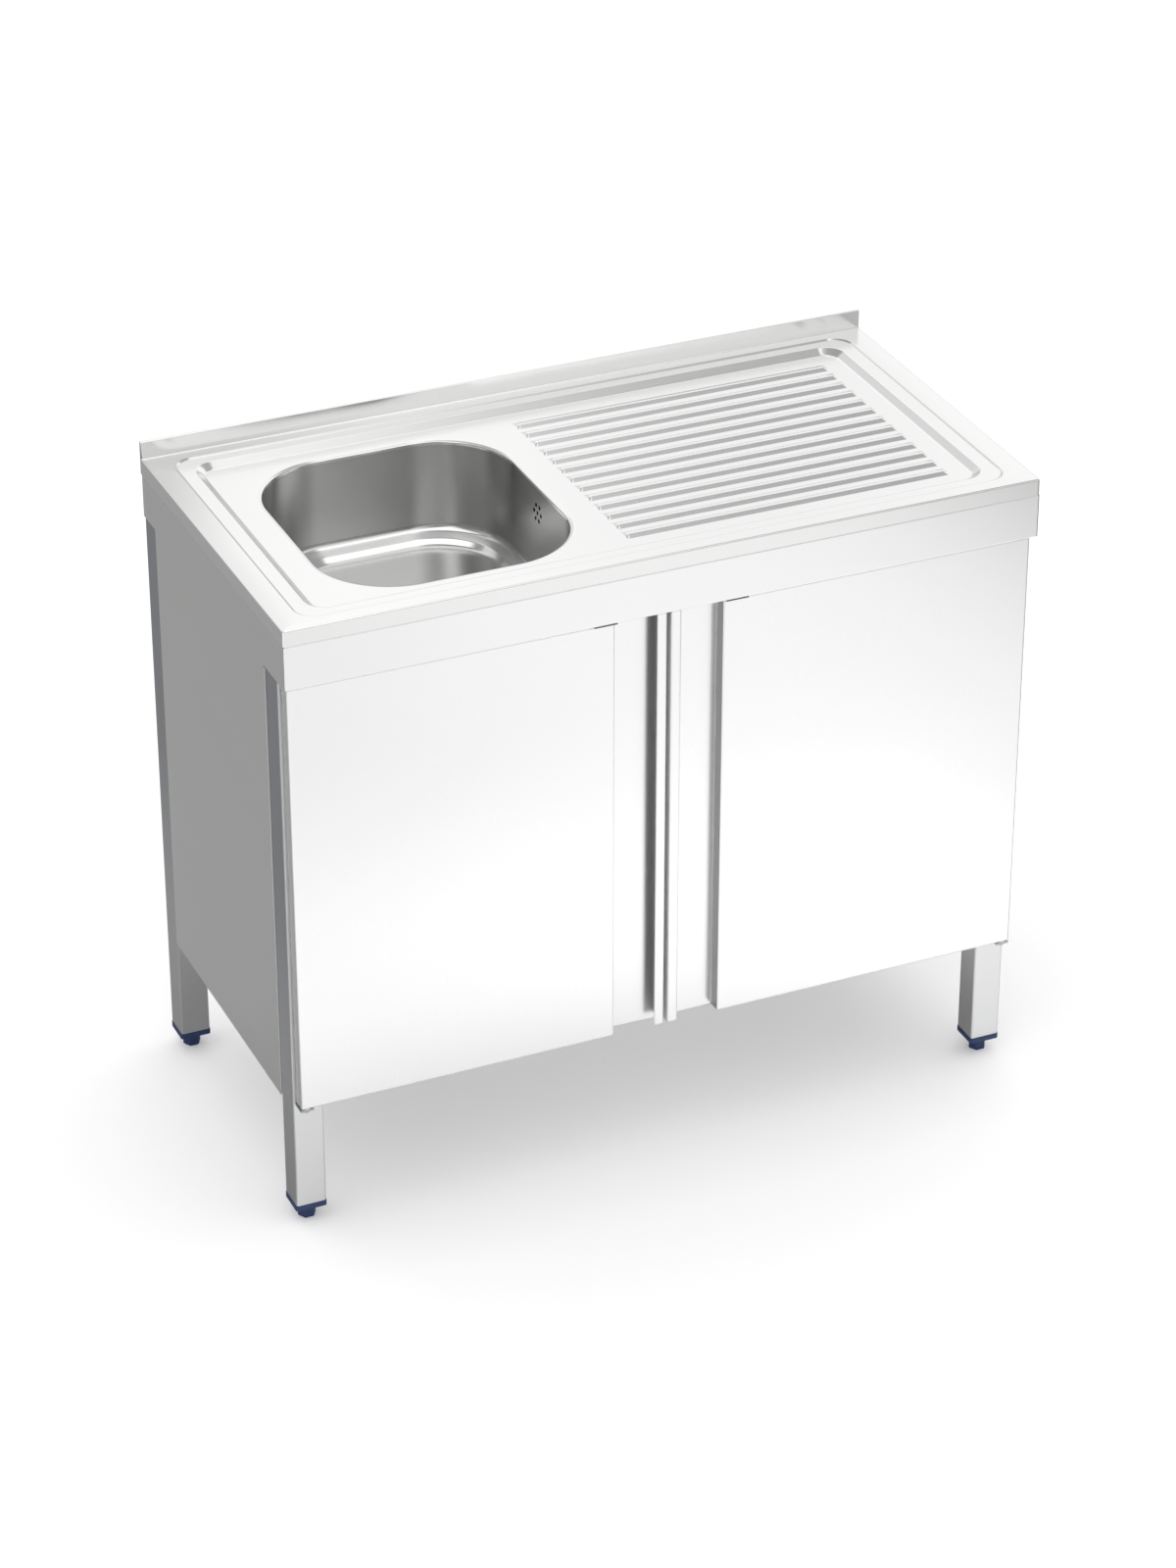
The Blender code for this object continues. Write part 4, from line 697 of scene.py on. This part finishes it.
def product(tree, first, second):
    """A node that multiplies another node's output by a number or by a second output."""
    node = tree.nodes.new("ShaderNodeMath")
    node.operation = "MULTIPLY"
    tree.links.new(first, node.inputs[0])
    if isinstance(second, float):
        node.inputs[1].default_value = second
    else:
        tree.links.new(second, node.inputs[1])
    return node.outputs["Value"]


floor_mesh = bpy.data.meshes.new("studio_floor")
floor_corners = FLOOR_REACH * np.array(((-1, -1, 0), (1, -1, 0), (1, 1, 0), (-1, 1, 0)))
floor_mesh.from_pydata(floor_corners, [], [(0, 1, 2, 3)])
floor = bpy.data.objects.new("studio_floor", floor_mesh)
bpy.context.scene.collection.objects.link(floor)
floor_paint = bpy.data.materials.new("pale_floor")
floor_paint.use_nodes = True
floor_paint.cycles.emission_sampling = "NONE"
tree = floor_paint.node_tree
tree.nodes.clear()
path = tree.nodes.new("ShaderNodeLightPath")
# what metal sees of the floor, painted as reflection tones from the middle in front out to its sides, with painted
# shade under the unit
place = places(tree)
front = fade(tree, place["X"], -0.10, 0.50, 0.78, 0.88)
middle = fade(tree, place["X"], -0.35, 0.15, 0.99, 1.09)
middle = fade(tree, place["X"], 0.60, 1.00, middle, 0.87)
front = fade(tree, place["Y"], -1.30, -0.81, front, middle)
feet = fade(tree, place["X"], -0.10, 0.40, 0.855, 0.94)
start = fade(tree, place["X"], -0.10, 0.40, -0.70, -0.54)
end = fade(tree, place["X"], -0.10, 0.40, -0.45, -0.42)
front = fade(tree, place["Y"], start, end, front, feet)
side = fade(tree, place["X"], -1.05, -0.60, 0.292, 0.345)
under = fade(tree, place["X"], -0.36, -0.26, 0.31, front)
under = fade(tree, place["X"], 0.26, 0.36, under, 0.28)
under = fade(tree, place["Y"], -0.28, -0.16, front, under)
side = fade(tree, place["X"], -0.60, -0.50, side, under)
side = fade(tree, place["Y"], -0.55, -0.25, front, side)
side = fade(tree, place["X"], 1.0, 1.75, side, 0.3)
tone = fade(tree, path.outputs["Is Glossy Ray"], 0.0, 1.0, 1.0, product(tree, side, FLOOR_LIFT))
# a matt white with a little light of its own, which only the camera and the metal see
seen = tree.nodes.new("ShaderNodeMath")
seen.operation = "MAXIMUM"
matt = tree.nodes.new("ShaderNodeBsdfDiffuse")
glow = tree.nodes.new("ShaderNodeEmission")
both = tree.nodes.new("ShaderNodeAddShader")
out = tree.nodes.new("ShaderNodeOutputMaterial")
tree.links.new(path.outputs["Is Camera Ray"], seen.inputs[0])
tree.links.new(path.outputs["Is Glossy Ray"], seen.inputs[1])
tree.links.new(product(tree, tone, FLOOR_GREY), matt.inputs["Color"])
tree.links.new(product(tree, product(tree, seen.outputs["Value"], tone), FLOOR_GLOW), glow.inputs["Strength"])
tree.links.new(matt.outputs["BSDF"], both.inputs[0])
tree.links.new(glow.outputs["Emission"], both.inputs[1])
tree.links.new(both.outputs["Shader"], out.inputs["Surface"])
floor_mesh.materials.append(floor_paint)

world = bpy.data.worlds.new("studio")
bpy.context.scene.world = world
world.use_nodes = True
world.cycles.sampling_method = "NONE"
tree = world.node_tree
surround = tree.nodes["Background"]
direction = tree.nodes.new("ShaderNodeTexCoord")
apart = tree.nodes.new("ShaderNodeSeparateXYZ")
path = tree.nodes.new("ShaderNodeLightPath")
tree.links.new(direction.outputs["Generated"], apart.inputs["Vector"])
way = apart.outputs
# walls, low and high, brighter to the right and grey in front on the left
low = fade(tree, way["X"], 0.250, 0.295, 0.80, 1.07)
high = fade(tree, way["X"], -0.16, -0.04, 0.74, 1.10)
walls = fade(tree, way["Z"], 0.47, 0.54, low, high)
walls = fade(tree, way["X"], 0.33, 0.38, walls, 0.95)
walls = fade(tree, way["X"], 0.424, 0.44, walls, 1.05)
front = fade(tree, way["X"], -0.35, 0.20, 0.18, 0.97)
front = fade(tree, way["X"], 0.30, 0.37, front, 0.83)
walls = fade(tree, way["Y"], -0.5, 0.3, front, walls)
walls = fade(tree, way["Z"], 0.02, 0.38, 0.52, walls)
# ceiling, grey but for a bright strip, and the soft box
ceiling = fade(tree, way["X"], 0.312, 0.368, 1.12, 0.41)
ceiling = fade(tree, way["X"], 0.12, 0.27, 0.55, ceiling)
ceiling = fade(tree, way["X"], -0.10, 0.10, 0.36, ceiling)
dome = fade(tree, way["Z"], 0.60, 0.72, walls, ceiling)
box = fade(tree, way["X"], -0.72, -0.58, dome, 1.5)
box = fade(tree, way["X"], 0.36, 0.42, box, dome)
box = fade(tree, way["Y"], -0.76, -0.66, dome, box)
near = fade(tree, way["X"], -0.60, 0.05, 0.12, -0.34)
far = fade(tree, way["X"], -0.60, 0.05, 0.22, -0.22)
dome = fade(tree, way["Y"], near, far, box, dome)
# an even dome for everything that isn't metal, and plain white for the camera
lit = fade(tree, path.outputs["Is Glossy Ray"], 0.0, 1.0, DOME_LIGHT, dome)
lit = fade(tree, path.outputs["Is Camera Ray"], 0.0, 1.0, lit, 1.0)
tree.links.new(lit, surround.inputs["Color"])
surround.inputs["Strength"].default_value = 1.0

lamp_data = bpy.data.lights.new("soft_top_lamp", "SUN")
lamp_data.energy = LAMP_LIGHT
lamp_data.angle = LAMP_ANGLE
lamp = bpy.data.objects.new("soft_top_lamp", lamp_data)
lamp.rotation_euler = LAMP_TURN
lamp.visible_glossy = False
bpy.context.scene.collection.objects.link(lamp)

# Camera: set up to the photograph's own view, with the picture 1200 wide and 1600 high. Its focal length, place, tilt
# and turn were fitted to straight edges of the unit.
FOCAL_PIXELS, PICTURE_HEIGHT, SENSOR = 4678.695, 1600, 36.0
CAMERA_PLACE = (-2.072817, -4.696532, 3.356467)
CAMERA_TILT, CAMERA_TURN = math.radians(29.866760), math.radians(-23.809062)
camera_data = bpy.data.cameras.new("camera")
camera_data.sensor_fit = "AUTO"
camera_data.sensor_width = SENSOR
camera_data.lens = FOCAL_PIXELS / PICTURE_HEIGHT * SENSOR
camera_data.clip_end = 100.0
camera = bpy.data.objects.new("camera", camera_data)
camera.location = CAMERA_PLACE
camera.rotation_euler = (math.pi / 2 - CAMERA_TILT, 0, CAMERA_TURN)
bpy.context.scene.collection.objects.link(camera)
bpy.context.scene.camera = camera
bpy.context.scene.view_settings.view_transform = "Standard"
